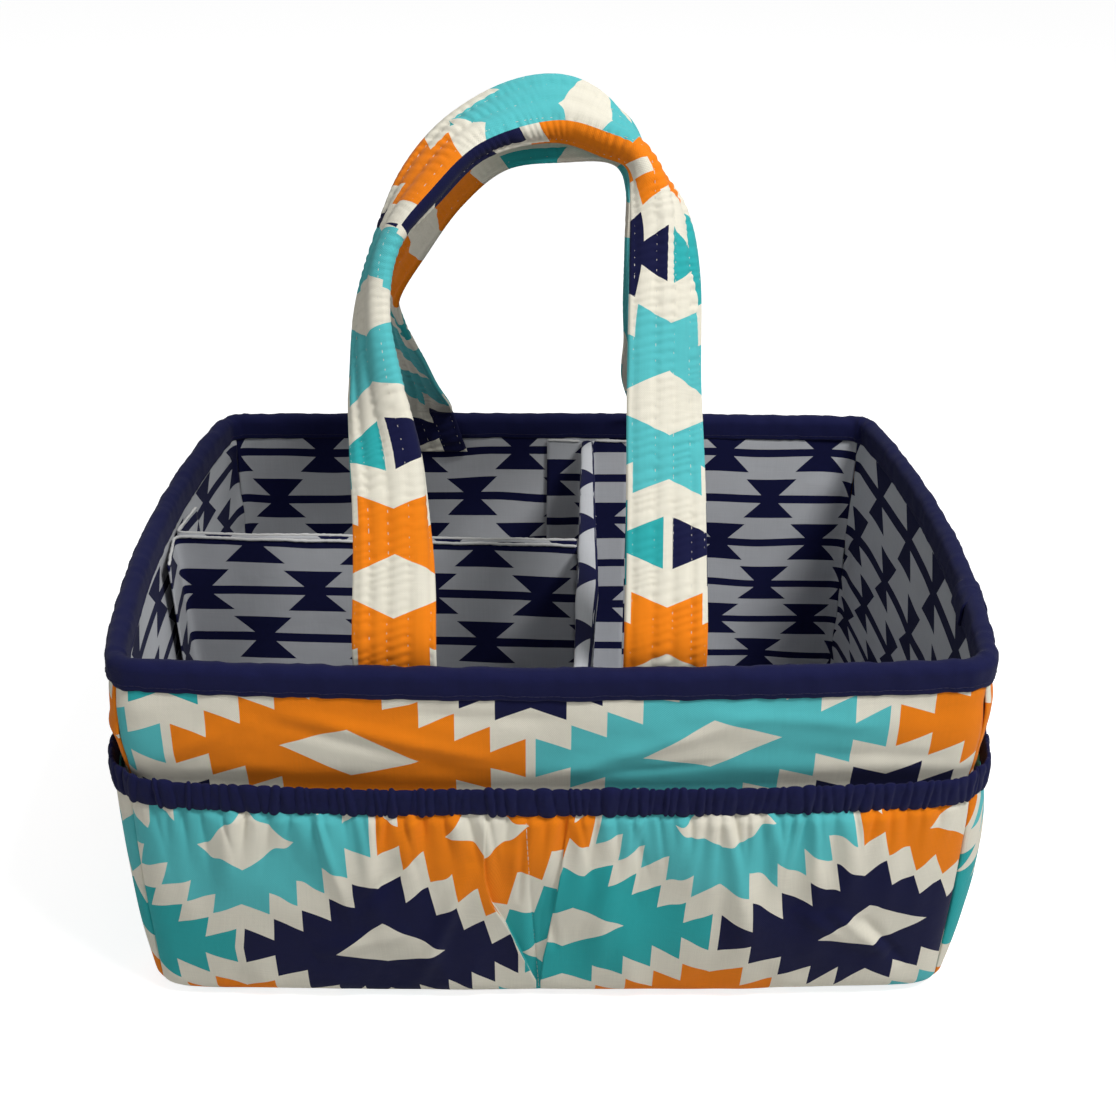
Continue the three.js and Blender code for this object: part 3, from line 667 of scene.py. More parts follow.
# %% Cloth on the inside of the walls
FLOOR_LEVEL, CORNER_PUCKER, FOOT_PUCKER, SEWN_FLAT = 5.6, 22, 14, (158, 166)
HIDDEN_ROWS = ([5, 40, 92, 145, 172], [-5.3, -4, -2, 0, 1.0])
LINING_ROWS = {
    "back": ([5, 24.5, 46.8, 70.9, 96.5, 123.5, 151, 172], [-5.8, -5, -4, -3, -2, -1, 0, 0.8]),
    "right": ([5, 33, 55, 79, 107, 144, 172], [-5.1, -4, -3, -2, -1, 0, 0.8]),
    "left": HIDDEN_ROWS, "front": HIDDEN_ROWS,
}
LINING_START = {"back": 15.2, "right": 32.2, "left": -20.0, "front": 8.0}


def lining_relief(name, s, z):
    """Shallow waves, and puckers where the lining is sewn in at the corners and the foot."""
    corner, foot = hill(HALF[name] - np.abs(s), CORNER_PUCKER), hill(z - FLOOR_LEVEL, FOOT_PUCKER)
    seed = 41 + 7 * NUMBER[name]
    relief = 0.7 + 0.6 * cloud(s, z, 42, 30, seed) + corner * 1.3 * cloud(s, z, 26, 13, seed + 1)
    relief = relief + foot * 0.8 * cloud(s, z, 12, 20, seed + 2)
    return np.maximum(0.05, relief) * (1 - smooth(z, *SEWN_FLAT))


for name in WALL_NAMES:
    t, s, z = cover(name, 1.25, np.linspace(FLOOR_LEVEL + 0.35, WALL_TOP, 64))
    grid = on_wall(name, t, z, WALL_THICKNESS + lining_relief(name, s, z))
    across = s - LINING_START[name] + (5.6 * smooth(-s, 10, 30) if name == "back" else 0)
    rows = np.interp(z, *LINING_ROWS[name]) * TIE_ROWS + 1.2 * cloud(s, z, 30, 24, 90 + NUMBER[name])
    piece = sew(f"lining_cloth_{name}", grid, together(across, rows), lining_cotton, flip=True,
                thickness=THIN, stands_for=[f"lining_panel_{name}"], slot="lining_cotton")
    flat = (2 * HALF[name] / 1000, 0.166)

# %% [markdown]
# ## The base
# Two flat pieces close the bottom: print cotton outside and lining inside, both over a loose board. Rings
# that shrink from the outline to the middle make a clean grid for a panel of this shape.

# %% Floor of the caddy, inside and outside
RING_COUNT, RING_SHRINK, WALL_STEPS = 60, 0.998, 90


def base_sheet(level, outline_level, depth, relief, seed):
    """A flat sheet at a level, cut to the body's outline at another, depth inside its outside face."""
    t, ring = np.linspace(-1, 1, WALL_STEPS, endpoint=False), np.linspace(0, 1, RING_COUNT)
    outline = np.concatenate([on_wall(name, t, outline_level, depth)[:, :2] for name in WALL_NAMES])
    flat = outline * (1 - RING_SHRINK * ring[:, None, None])
    height = level + relief * cloud(flat[..., 0] + 500, flat[..., 1] + 500, 34, 34, seed)
    return np.concatenate([flat, height[..., None]], -1), np.concatenate([flat, flat[:, :1]], 1)


grid, cloth_at = base_sheet(level=0.12, outline_level=1.0, depth=0.0, relief=0.1, seed=5)
piece = sew("base_cloth", grid, cloth_at, print_cotton, ring=True, thickness=THIN,
            stands_for=["base_cover"], slot="print_cotton")
grid, cloth_at = base_sheet(level=5.7, outline_level=4.6, depth=4.6, relief=0.35, seed=6)
piece = sew("floor_lining", grid, cloth_at, lining_cotton, ring=True, flip=True, thickness=THIN,
            stands_for=["base_lining"], slot="lining_cotton")

# %% [markdown]
# ## The bound rim
# A strip of navy cotton cut on the slant is folded over the top edge and sewn through. It is a thin shell
# round the whole rim: up the outside, over a rounded crown and down the inside. Cloth cut on the slant
# pulls into small diagonal waves, strongest at the corners, and its two ends overlap in a lap on the right.

# %% Binding over the rim
BINDING_HEIGHT, BINDING_HALF, RIPPLE = 12.7, 4.4, 0.38
RIM_MIDDLE, BINDING_FOOT = WALL_THICKNESS / 2, BODY_HEIGHT - BINDING_HEIGHT
LAP_MIDDLE, LAP_HALF, LAP_OVER, CORNER_RIPPLE = -1 + 62 / SIDE_HALF, 10, 1.3, 16
HEM_SHAPE = [(0.72, 0.1), (0.93, 0), (1.0, 0.8), (1.01, 2.0), (1.0, 2.4), (1.01, 2.9), (1.0, 5.5)]


def binding_profile(half, foot):
    """The binding's section as [across the wall, height] pairs, from the outside over the crown."""
    arc = np.linspace(0, math.pi, 13)
    crown = [(-half * math.cos(a), BODY_HEIGHT - half + half * math.sin(a)) for a in arc]
    outside, inside = ([(side * half * k, foot + rise) for k, rise in HEM_SHAPE] for side in (-1, 1))
    return np.array(outside + crown + inside[::-1])


def binding_grid(places, half, foot, seed):
    """places is a list of (wall, t values). The section is swept round and rippled."""
    profile = binding_profile(half, foot)
    around = travel(profile)
    arch = np.sin(np.pi * around / around[-1]) ** 0.4
    rows, marks, start = [], [], 0.0
    for name, t in places:
        s = start + (t - t[0]) * HALF[name]
        mark, flat = s[:, None], around + 0 * s[:, None]
        ripple = cloud(mark + around * 1.1, flat, 7, 9, seed) + 0.8 * cloud(mark, flat, 3.2, 20, seed + 1)
        corner = 1 + 0.9 * hill(np.minimum(1 - t, 1 + t) * HALF[name], CORNER_RIPPLE)
        swell = RIPPLE / half * ripple * corner[:, None] * arch
        height = BODY_HEIGHT - half + (profile[:, 1] - BODY_HEIGHT + half) * (1 + swell * 0.8)
        rows.append(on_wall(name, t[:, None], height, RIM_MIDDLE + profile[:, 0] * (1 + swell)))
        marks.append(s)
        start = s[-1]
    return np.concatenate(rows), np.concatenate(marks), around


loop_places = [(name, np.linspace(-1, 1, int(HALF[name] * 1.05), endpoint=False)) for name in WALL_NAMES]
grid, marks, around = binding_grid(loop_places, BINDING_HALF, BINDING_FOOT, 21)
marks = np.append(marks, marks[-1] + 2)
rim = sew("rim_binding_cloth", grid, together(marks[:, None], around), navy_cotton, loop=True,
          thickness=1.0, stands_for=["rim_binding"], slot="navy_cotton")
lap_places = [("right", LAP_MIDDLE + np.linspace(-LAP_HALF, LAP_HALF, 26) / SIDE_HALF)]
lap_grid, lap_marks, lap_around = binding_grid(lap_places, BINDING_HALF + LAP_OVER, BINDING_FOOT - 0.2, 23)
lap = sew("rim_lap_cloth", lap_grid, together(lap_marks[:, None], lap_around), navy_cotton,
          thickness=1.2, stands_for=["rim_binding_lap"], slot="navy_cotton")
print("binding strip", round(float(marks[-1])), "by", round(float(around[-1])), "mm")

# %% Stitch rows along the binding
SEWN_AT = 4  # points of the section between its edge and the stitches
runs = []
for column, side in ((SEWN_AT, -1), (len(around) - 1 - SEWN_AT, 1)):
    path = np.concatenate([grid[:, column], grid[:1, column]])
    outward = (path - path.mean(0)) * [1, 1, 0]
    normal = np.cross(np.gradient(path, axis=0), [0, 0, 1.0])
    runs.append((path, normal * np.sign((normal * outward).sum(1, keepdims=True)) * -side))
piece = add_piece("rim_stitches", thread_mesh("rim_stitches", runs), navy_thread, slot="navy_cotton")
print(piece.name, len(piece.data.polygons), "faces")

# %% [markdown]
# ## The gathered pockets
# Each outside pocket is a panel wider than its wall. Elastic at the mouth and the seam at the foot draw it
# in, so it stands off in a belly with gathers that fan down from the mouth. Here the folds are placed one
# by one from a fixed seed: each has a place, a width, a depth and a length, and fades out as it runs down.

# %% How a pocket stands off its wall
POCKET_FOOT, POCKET_TOP, MOUTH_STAND_OFF = 2.8, 105.7, 6.0
SEAM_Z, SEAM_S = [2.8, 38.8, 73.2, 105.7], [-5.2, -7.5, -9.5, -11.0]
SEAM_PLEATS = [
    ((-60, 8), (-34, 84), 2.4, 4.0), ((-9, 20), (-14, 92), 1.6, 4.4), ((20, 12), (24, 84), 1.8, 5.5),
    ((-14, 60), (-12, 104), -1.4, 1.8), ((2, 30), (-2, 70), -1.2, 1.8), ((40, 66), (34, 104), -1.6, 2.0),
    ((150, 28), (118, 58), 2.2, 3.6), ((158, 20), (134, 52), -1.6, 2.6), ((104, 58), (142, 30), 1.6, 4.0),
    ((-104, 30), (-60, 46), 1.5, 5.0), ((-84, 58), (-58, 88), -1.4, 3.4),
]
LEFT_PLEAT = ([2.8, 10.8, 18.8, 30.3, 49.3, 61.7, 74.2, 83.7, 96.2, 105.7],
              [-6.6, -6.6, -9.5, -13.5, -20, -25.5, -28, -28.5, -28, -27.5])
RIGHT_PLEAT = ([2.8, 10.8, 25.8, 39.8, 54.7, 66.2, 82.7, 102.2, 105.7],
               [-4.6, -4.6, -3.5, -1.5, 0.5, 2, 4, 6, 6.5])


def seam_at(name, z):
    """Where the middle seam of the front and back pockets is, along the wall."""
    return np.interp(z, SEAM_Z, SEAM_S) if name == "front" else 0 * z


def stand_off(name, t, rise):
    """Distance between wall and cloth before the folds, and 0 to 1 for how free the cloth is there."""
    share, held = (t + 1) / 2, 0 * t
    if name in ("front", "back"):
        seam = seam_at(name, POCKET_FOOT + rise * (POCKET_TOP - POCKET_FOOT)) / HALF[name]
        share = np.where(t < seam, (t + 1) / (seam + 1), (t - seam) / (1 - seam))
        held = hill((t - seam) * HALF[name], 34)
    spread = np.maximum(0, np.sin(np.pi * np.clip(share, 0, 1))) ** 0.4
    spread = spread + (1 - spread) * held * 0.85 * smooth(rise, 0.05, 0.9)
    belly = WALLS[name]["belly"] * np.maximum(0, np.sin(np.pi * rise)) ** 0.8
    return LAYER_GAP + spread * (MOUTH_STAND_OFF * rise + belly), spread


def gathers(name, s, z):
    """Folds that run down from the mouth with sunk lines between, and broad ones up from the foot."""
    rng = np.random.default_rng(71 + NUMBER[name])
    half, fold = HALF[name], np.zeros_like(s)
    drop, climb = np.maximum(POCKET_TOP - z, 0), z - POCKET_FOOT
    place = -half + 5
    while place < half - 4:
        width, reach = rng.uniform(1.7, 4.4), rng.uniform(14, 38) * rng.choice([1, 1, 1.9])
        lean, height = rng.uniform(-0.2, 0.2), rng.uniform(1.2, 3.0) * (0.6 + width / 4)
        ridge = hill(s - place - lean * drop, width * (1 + drop / 38))
        fold += height * ridge * np.exp(-((drop / reach) ** 1.4))
        step = width * rng.uniform(1.7, 3.0)
        line, depth, run = place + step * 0.55, rng.uniform(0.4, 1.5), rng.uniform(7, 26)
        fold -= depth * hill(s - line - lean * drop, 0.8 + drop / 26) * hill(drop, run)
        place += step
    place = -half + 8
    while place < half - 6:
        width, reach = rng.uniform(4, 8), rng.uniform(14, 40)
        height, lean = rng.uniform(-1.6, 2.2), rng.uniform(-0.45, 0.45)
        fold += height * hill(s - place - lean * climb, width) * hill(climb, reach) * smooth(climb, 0, 9)
        place += width * rng.uniform(1.6, 3.0)
    return fold


def pleat_steps(s, z):
    """Two pleats meet at the foot of the seam. The cloth outside them lies over the wedge between."""
    left, right = np.interp(z, *LEFT_PLEAT), np.interp(z, *RIGHT_PLEAT)
    between = (s > left + 0.01) & (s < right - 0.01)
    over = np.where(between, 0, np.exp(-np.maximum(0, np.maximum(left - s, s - right)) / 8))
    under = np.where(between, np.exp(-np.abs(s - left) / 3.5) + np.exp(-np.abs(right - s) / 3.5), 0)
    strength = smooth(z, 3, 14) * (1 - 0.7 * smooth(z, 62, 100))
    return strength * (1.5 * over - 0.8 * np.minimum(under, 1.1))


def pocket_surface(name, t, z):
    """How far the outside of the pocket stands out of the wall's outside face."""
    rise = np.clip((z - POCKET_FOOT) / (POCKET_TOP - POCKET_FOOT), 0, 1)
    off, spread = stand_off(name, t, rise)
    s = t * HALF[name]
    loose = 1.5 * cloud(s + 0.5 * z, z, 22, 34, 101 + NUMBER[name]) * np.sin(np.pi * rise)
    relief = (gathers(name, s, z) + loose + 0.6) * np.clip(spread * 1.1 - 0.1, 0, 1)
    if name == "front":
        relief = relief + sum(crease(s, z, *line) for line in SEAM_PLEATS) + pleat_steps(s, z)
    tucked = smooth(z, POCKET_TOP - 2, POCKET_TOP + 1.5)
    return off + CLOTH + np.maximum(relief, 0) * (1 - 0.5 * tucked)


# %% [markdown]
# ### Where the print lies on the front pockets
# The print follows the cloth, and the cloth is drawn in by half at the mouth and less at the foot. Two
# rows of the print are placed: for points along the wall, the table gives the place on the flat cloth and
# the height of the row. Between the rows the places are blended, which bends the print as gathers do. The
# wedge between the two pleats shows its own, slanted part of the print, since cloth is folded away there.

# %% Print on the pockets
UPPER_ROW = dict(s=[-178, -128, -74, -27, 18, 70, 127, 165, 178],
                 u=[-70, 0, 73.5, 147, 220.5, 294, 367.5, 425, 447],
                 z=[90, 92, 97, 99.5, 101, 104.8, 100, 98, 97])
LOWER_ROWS = {
    "left": dict(s=[-178, -138, -94, -72, -46, -16, -5], u=[-44, -1.5, 45.5, 73.5, 101.5, 143, 158],
                 z=[36, 33, 30, 38, 35, 30, 30]),
    "right": dict(s=[-8.8, 31, 69, 116, 140, 164, 178], u=[206, 248.5, 292.5, 339.5, 367.5, 395.5, 413],
                  z=[45, 47.7, 45.6, 40.2, 47.5, 46.1, 44]),
}
POCKET_STARTS = {"right": 700, "back": 1500, "left": 2178}
END_GAP, POCKET_SPACING, AVERAGED, TAKEN_UP = 0.15, 0.75, 34, 1.4


def flat_print(name, s, z, zone):
    """Where points of a pocket lie on the printed cloth before the folds take some up."""
    if zone == "wedge":
        tilt = 0.35 * smooth(z, 29, 55) * (s + 14)
        return together(184.5 + 1.25 * (s + 10.5) - 0.29 * (z - 66), 0.789 * (z - 100.5 - tilt))
    if name == "front":
        rows = UPPER_ROW, LOWER_ROWS[zone]
        (upper, lower), (u_upper, u_lower) = ([np.interp(s, row["s"], row[key]) for row in rows]
                                              for key in "zu")
        share = (upper - z) / (upper - lower)
        blend = np.clip(share, -0.15, 1.0)
        return together(u_upper * (1 - blend) + u_lower * blend, -ROW_PITCH * share)
    start = POCKET_STARTS[name]
    ratio = 1.45 - 0.3 * smooth(POCKET_TOP - z, 0, 75)
    return together(start + s * ratio, (z - 97 - 5 * np.sin(s / 50 + start)) * 1.02)


def pocket_print(name, s, z, off, zone):
    """off is how far the cloth stands out, so that folds take up cloth and bend the print."""
    spacing = np.maximum(np.gradient(s, axis=0), 1e-3)
    extra = np.sqrt(1 + (np.gradient(off, axis=0) / spacing) ** 2) - 1
    taken = np.cumsum(extra * spacing, axis=0)
    window = min(AVERAGED, len(s) // 3)
    sums = np.cumsum(np.pad(taken, ((window, window), (0, 0)), mode="reflect", reflect_type="odd"), axis=0)
    mean = (sums[2 * window :] - sums[: -2 * window]) / (2 * window)
    pull = hill(POCKET_TOP - z, 42) * (2.6 * cloud(s, z, 11, 90, 171) + 2.0 * cloud(s, z, 5.5, 40, 172))
    pull = pull + 1.6 * cloud(s, z, 26, 22, 173)
    return flat_print(name, s, z, zone) + together((taken - mean) * TAKEN_UP, pull)


def pocket_zones(name, z):
    """Places along the wall for each column of cloth, in zones with their own part of the print."""
    end = HALF[name] - END_GAP
    if name != "front":
        return {"whole": np.linspace(-end, end, int(2 * end / POCKET_SPACING))[:, None] + 0 * z}
    left, right = np.interp(z, *LEFT_PLEAT), np.interp(z, *RIGHT_PLEAT)
    spans = {"left": (-end, left, 230), "wedge": (left + 0.03, right - 0.03, 44), "right": (right, end, 250)}
    return {zone: a + (b - a) * np.linspace(0, 1, count)[:, None] for zone, (a, b, count) in spans.items()}


levels = POCKET_FOOT + (POCKET_TOP + 2 - POCKET_FOOT) * np.linspace(0, 1, 68) ** 0.92
for name in WALL_NAMES:
    half, zones = HALF[name], pocket_zones(name, levels)
    s = np.concatenate(list(zones.values()))
    z = levels + 0 * s
    off = pocket_surface(name, s / half, z)
    cloth_at, start = [], 0
    for zone, places in zones.items():
        part = slice(start, start + len(places))
        cloth_at.append(pocket_print(name, s[part], z[part], off[part], zone))
        start += len(places)
    grid = on_wall(name, s / half, z, -off)
    piece = sew(f"pocket_cloth_{name}", grid, np.concatenate(cloth_at), print_cotton,
                thickness=THICK, stands_for=[f"pocket_{name}"], slot="print_cotton")
    2.6 * half / 1000

# %% [markdown]
# ## The ruched elastic casings
# A navy strip is folded round the elastic at each pocket's mouth. When the elastic pulls back, the strip
# bunches into puffs a few millimetres wide with sunk lines between them, and its edges turn scalloped. A
# closed tube is swept along the wall, and each puff swells it by its own amount.

# %% Ruched tubes
CASING_MIDDLE, CASING_EDGE = (CASING_TOP + CASING_BOTTOM) / 2, 5.9
CASING_SIDES, CASING_STRIP = 22, 36


def puffs(s, seed, lean):
    """0 in the sunk lines and up to 1 on the puffs, which are 2 to 8 mm wide."""
    rng = np.random.default_rng(seed)
    edges = [-200.0]
    while edges[-1] < 200:
        edges.append(edges[-1] + rng.choice([1, 1, 1.7]) * rng.uniform(2.0, 4.8))
    edges, size = np.array(edges), rng.uniform(0.25, 1.0, len(edges))
    slant = rng.uniform(-1.3, 1.3, len(edges))
    place = s + lean * np.interp(s, edges, slant)
    i = np.clip(np.searchsorted(edges, place) - 1, 0, len(edges) - 2)
    k = np.clip((place - edges[i]) / (edges[i + 1] - edges[i]), 0, 1)
    return size[i] * np.sin(np.pi * k) ** 0.5


for name in WALL_NAMES:
    t, s, angle = cover(name, 0.25, np.linspace(0, 2 * np.pi, CASING_SIDES, endpoint=False), END_GAP)
    height, out = -np.cos(angle), np.sin(angle)
    puff = puffs(s, 131 + NUMBER[name], height)
    thick = np.where(out > 0, 0.8 + 1.6 * puff + 0.3 * cloud(s, angle * 6, 1.5, 5, 141), 1.2)
    off = stand_off(name, t, np.ones_like(t))[0] + 2.2 + np.sign(out) * np.abs(out) ** 0.75 * thick
    dip = 0.35 * hill(height, 0.18) * (out > 0)
    level = CASING_MIDDLE + height * (CASING_EDGE + 1.9 * puff) + 0.5 * cloud(s, 0 * s, 31, 9, 151)
    cloth_at = together(s[:, :1] * 1.6, np.linspace(0, CASING_STRIP, CASING_SIDES + 1))
    piece = sew(f"elastic_cloth_{name}", on_wall(name, t, level, dip - off), cloth_at, navy_cotton,
                ring=True, thickness=0.7, stands_for=[f"elastic_casing_{name}"], slot="navy_cotton")
    2 * HALF[name] * 1.02 / 1000

# %% [markdown]
# ## The lift-out divider
# The divider is a board between two leaves of lining cotton. The leaves turn outwards at the walls as
# flanges, one of which stands off the left wall, and the centre divider's cloth is folded over the top.
# Each leaf follows a line in plan that is swept from the floor to the top edge.

# %% Leaves that stand in the caddy
FLANGE_DEPTH = RIM_MIDDLE + BINDING_HALF + 0.4 + 0.5
LEAF_OFFSET, DIVIDER_TOP, LEAF_FOOT = 1.5 + LAYER_GAP + 0.5, 158.5, FLOOR_LEVEL + 0.3
CENTRE_FRONT, CENTRE_BACK, CROSS_LEFT, CROSS_RIGHT = 11.0, 22.0, 8.0, 0.0
FRONT_FLANGE, BACK_FLANGE, CROSS_FLANGE, LEAF_SAG = 13.0, 20.0, 30.0, 4.0
LEAF_CORNER, LEAF_SPACING, CORNER_STEPS, SAG_PLACE = 4.0, 2.0, 5, 0.35


def inside_wall(name, s, z, depth=FLANGE_DEPTH):
    share = 1 - CORNER_REACH / HALF[name]
    return on_wall(name, s * share / straight_half(name, z), z, depth)[..., :2]


def straight(start, end):
    """Places from start to just before end."""
    steps = max(2, int(np.linalg.norm(end - start, axis=-1).mean() / LEAF_SPACING))
    return [start + (end - start) * k for k in np.arange(steps) / steps]


def rounded_line(*corners):
    """Points along straight runs with rounded inner corners. A corner is (height, 2)."""
    parts, last = [], corners[0]
    for before, corner, after in zip(corners, corners[1:], corners[2:]):
        start, end = (corner + unit(other - corner) * LEAF_CORNER for other in (before, after))
        curve = [rounded(start, corner, end, k) for k in np.arange(CORNER_STEPS) / CORNER_STEPS]
        parts += straight(last, start) + curve
        last = end
    return np.stack(parts + straight(last, corners[-1]) + [corners[-1]])


def centre_leaf(side, z):
    shift = side * LEAF_OFFSET
    sag = LEAF_SAG * z / DIVIDER_TOP if side > 0 else 0 * z
    front, back = inside_wall("front", CENTRE_FRONT + shift, z), inside_wall("back", -CENTRE_BACK - shift, z)
    middle = front + (back - front) * SAG_PLACE + np.stack([sag, 0 * z], -1)
    return rounded_line(
        inside_wall("front", CENTRE_FRONT + shift + side * FRONT_FLANGE, z), front, middle, back,
        inside_wall("back", -CENTRE_BACK - shift - side * BACK_FLANGE, z))


def cross_leaf(side, z):
    shift = side * LEAF_OFFSET
    middle = (CENTRE_FRONT + CENTRE_BACK) / 2 - LEAF_OFFSET - 1.3
    start = np.array([middle, CROSS_RIGHT + shift]) + 0 * z[:, None]
    free = inside_wall("left", -CROSS_LEFT - shift - side * CROSS_FLANGE, z, FLANGE_DEPTH + 3.0)
    return rounded_line(start, inside_wall("left", -CROSS_LEFT - shift, z), free)


def leaf_grid(line, z, seed, start, row, away):
    """Rippled leaf from a line per height. away is the sign of the side its face looks to."""
    run = np.gradient(line, axis=0)
    face = unit(np.stack([-run[..., 1], run[..., 0]], -1)) * away
    s = travel(line.mean(1))[:, None] + 0 * z
    height = z + 0 * s
    relief = 0.35 + 0.35 * cloud(s, height, 30, 26, seed) + 0.2 * cloud(s, height, 9, 30, seed + 1)
    plan = line + face * np.maximum(0, relief)[..., None]
    top = smooth(z, DIVIDER_TOP - 12, DIVIDER_TOP) * 0.5 * cloud(s, 0 * s, 14, 9, seed + 2)
    cloth_at = together(s - start, height - row + cloud(s, height, 40, 22, seed + 3))
    return np.concatenate([plan, (height + top)[..., None]], -1), cloth_at


LEAVES = {
    "centre_divider_leaf_left": (centre_leaf, -1, 1, 12.0, 136.7),
    "centre_divider_leaf_right": (centre_leaf, 1, -1, 30.0, 136.7),
    "cross_divider_leaf_front": (cross_leaf, -1, 1, 16.5, 131.0),
    "cross_divider_leaf_back": (cross_leaf, 1, -1, 33.0, 128.0),
}
leaf_tops = {}
z = np.linspace(LEAF_FOOT, DIVIDER_TOP, 62)
for i, (node, (line_of, side, away, start, row)) in enumerate(LEAVES.items()):
    grid, cloth_at = leaf_grid(line_of(side, z), z, 161 + 5 * i, start, row, away)
    leaf_tops[node] = grid[:, -1]
    piece = sew(f"{node}_cloth", grid, cloth_at, lining_cotton, flip=away > 0, body="divider_insert",
                thickness=THIN, stands_for=[node], slot="lining_cotton")
    node.split("_leaf")[0] + "_board"

# %% [markdown]
# The centre divider's cloth runs over its top as one fold, which opens to a narrow roof where the right
# leaf stands off the board. The cross divider is finished more roughly: the cut edges of its two leaves
# show as pale lines with a dark gap between them.

# %% The fold over the centre divider
HEM_DROPS, ROOF_STEPS = np.array([7.0, 5.0, 3.2, 1.5]), 13


def middle_run(top):
    """y and x along the top of a centre leaf, without its flanges."""
    turn_y = np.gradient(top[:, 1])
    here = turn_y > 0.7 * turn_y.max()
    return top[here, 1], top[here, 0]


left_y, left_x = middle_run(leaf_tops["centre_divider_leaf_left"])
right_y, right_x = middle_run(leaf_tops["centre_divider_leaf_right"])
y = np.linspace(max(left_y[0], right_y[0]) - 1, min(left_y[-1], right_y[-1]) + 1, 150)[:, None]
x_left, x_right = np.interp(y, left_y, left_x) - 0.35, np.interp(y, right_y, right_x) + 0.35
roof, half_width = np.linspace(math.pi, 0, ROOF_STEPS), (x_right - x_left) / 2
lift, hem = 1.3 + 0.3 * cloud(y, 0 * y, 16, 9, 181), DIVIDER_TOP - HEM_DROPS + 0 * y
x = np.concatenate([x_left - 0.1 + 0 * hem, x_left + half_width + half_width * np.cos(roof),
                    x_right + 0.1 + 0 * hem], 1)
height = np.concatenate([hem, DIVIDER_TOP - 0.3 + lift * np.sin(roof), hem[:, ::-1]], 1)
grid = together(x, y, height)
fold = sew("centre_divider_fold", grid, together(y + 6, travel(grid[40]) + 9), lining_cotton, flip=True,
           body="divider_insert", thickness=0.7, slot="lining_cotton")
print("fold is", (2 * half_width.min()).round(1), "to", (2 * half_width.max()).round(1), "mm wide")

# %% Raw edges
ROLL_STEP, ROLL_SIDES = 0.9, 8


def edge_roll(name, line, radius, seed):
    """A thin uneven roll of cut threads along a line of points."""
    along = travel(line)
    where = np.linspace(0, along[-1], int(along[-1] / ROLL_STEP))[:, None]
    centre = walk(line, along, where[:, 0])
    side = unit(np.cross(np.gradient(centre, axis=0), [0, 0, 1.0]))
    angle = 2 * np.pi * np.arange(ROLL_SIDES) / ROLL_SIDES
    swell = radius * (1 + 0.3 * cloud(where, angle * 3 + 0 * where, 1.6, 2.1, seed))
    swell = swell * np.clip(np.minimum(where, along[-1] - where) / ROLL_STEP, 0.05, 1)
    grid = centre[:, None] + side[:, None] * (np.cos(angle) * swell)[..., None]
    grid[..., 2] += np.sin(angle) * swell
    sew(name, grid, together(where, np.arange(ROLL_SIDES + 1) * radius), raw_cotton, ring=True,
        body="divider_insert", slot="lining_cotton")


for node in ("cross_divider_leaf_front", "cross_divider_leaf_back"):
    edge_roll(f"{node}_edge", leaf_tops[node] + [0, 0, 0.1], 0.75, 191)
for node in ("centre_divider_leaf_left", "centre_divider_leaf_right"):
    top = leaf_tops[node]
    turn_y = np.abs(np.gradient(top[:, 1]))
    flange = turn_y < 0.35 * turn_y.max()
    for label, side in (("front", -1), ("back", 1)):
        edge_roll(f"{node}_{label}_edge", top[flange & (top[:, 1] * side > 0)], 0.8, 193)

# %% [markdown]
# ## The quilted handles
# Each handle is one long padded strap of print cotton, sewn down inside the rim at both ends and stitched
# in rows along its whole length. It is creased lengthwise where it goes over the arch. The strap follows a
# smooth curve through places in its own leaning plane. At each place the strip has its own fold, and the
# padding swells between the stitch rows and puckers where they pull it in.

# %% The route of each handle
STRAP_WIDTH, CREASE_EASE, FOLD_STEPS, MEASURES = 33.5, 4.0, 24, 1500
HINGE_LEVEL, END_DROP, HINGE_BEND, TUCK, TUCKED = 178.0, 26.0, 8.0, 1.7, (17, 23)
FRONT_PLACES = [
    [-0.426, 0, 0.239, 0, 0, 0], [-0.425, 0.189, 0.238, -1.1, 51.7, -0.011],
    [-0.445, 0.352, 0.23, 6.4, 78.2, 0.015], [-0.518, 0.487, 0.269, 38.5, 83, 0.101],
    [-0.565, 0.624, 0.299, 61.6, 95, 0.19], [-0.527, 0.746, 0.268, 70, 95.3, 0.26],
    [-0.387, 0.845, 0.266, 46.2, 74.1, 0.251], [-0.194, 0.945, 0.252, 34.5, 66.3, 0.158],
    [0.087, 1.001, 0.317, 17.5, 54.4, -0.03], [0.293, 0.973, 0.343, 48.7, 55.3, 0.01],
    [0.425, 0.925, 0.305, 80.4, 47.5, 0.121], [0.491, 0.828, 0.4, 56.2, 17, 0.138],
    [0.499, 0.696, 0.424, 35.7, 0.4, 0.085], [0.482, 0.493, 0.403, 28.6, -5.7, 0.029],
    [0.475, 0.259, 0.392, 14.4, -4.6, -0.002], [0.47, 0, 0.403, 0, 0, 0],
]
REAR_ROUTE = [  # the rear strap is folded alike on both sides of its middle
    (-0.528, 0, 0, 0), (-0.52, 0.076, 27.5, 0), (-0.543, 0.176, 42, 0), (-0.575, 0.298, 49.2, 0),
    (-0.594, 0.428, 66.4, 0), (-0.583, 0.544, 78.6, -0.045), (-0.475, 0.702, 69.9, -0.134),
    (-0.333, 0.848, 73.7, -0.179), (-0.159, 0.96, 83.6, -0.149), (0.041, 0.992, 86.7, -0.09),
    (0.21, 0.98, 90.7, -0.09), (0.284, 0.898, 80.3, -0.06), (0.306, 0.755, 74.1, 0), (0.344, 0.562, 60, 0),
    (0.411, 0.358, 29.2, 0), (0.435, 0.164, 7.8, 0), (0.5, 0, 0, 0),
]
REAR_PLACES = [[x, up, 0.5, fold, -fold, ridge] for x, up, fold, ridge in REAR_ROUTE]
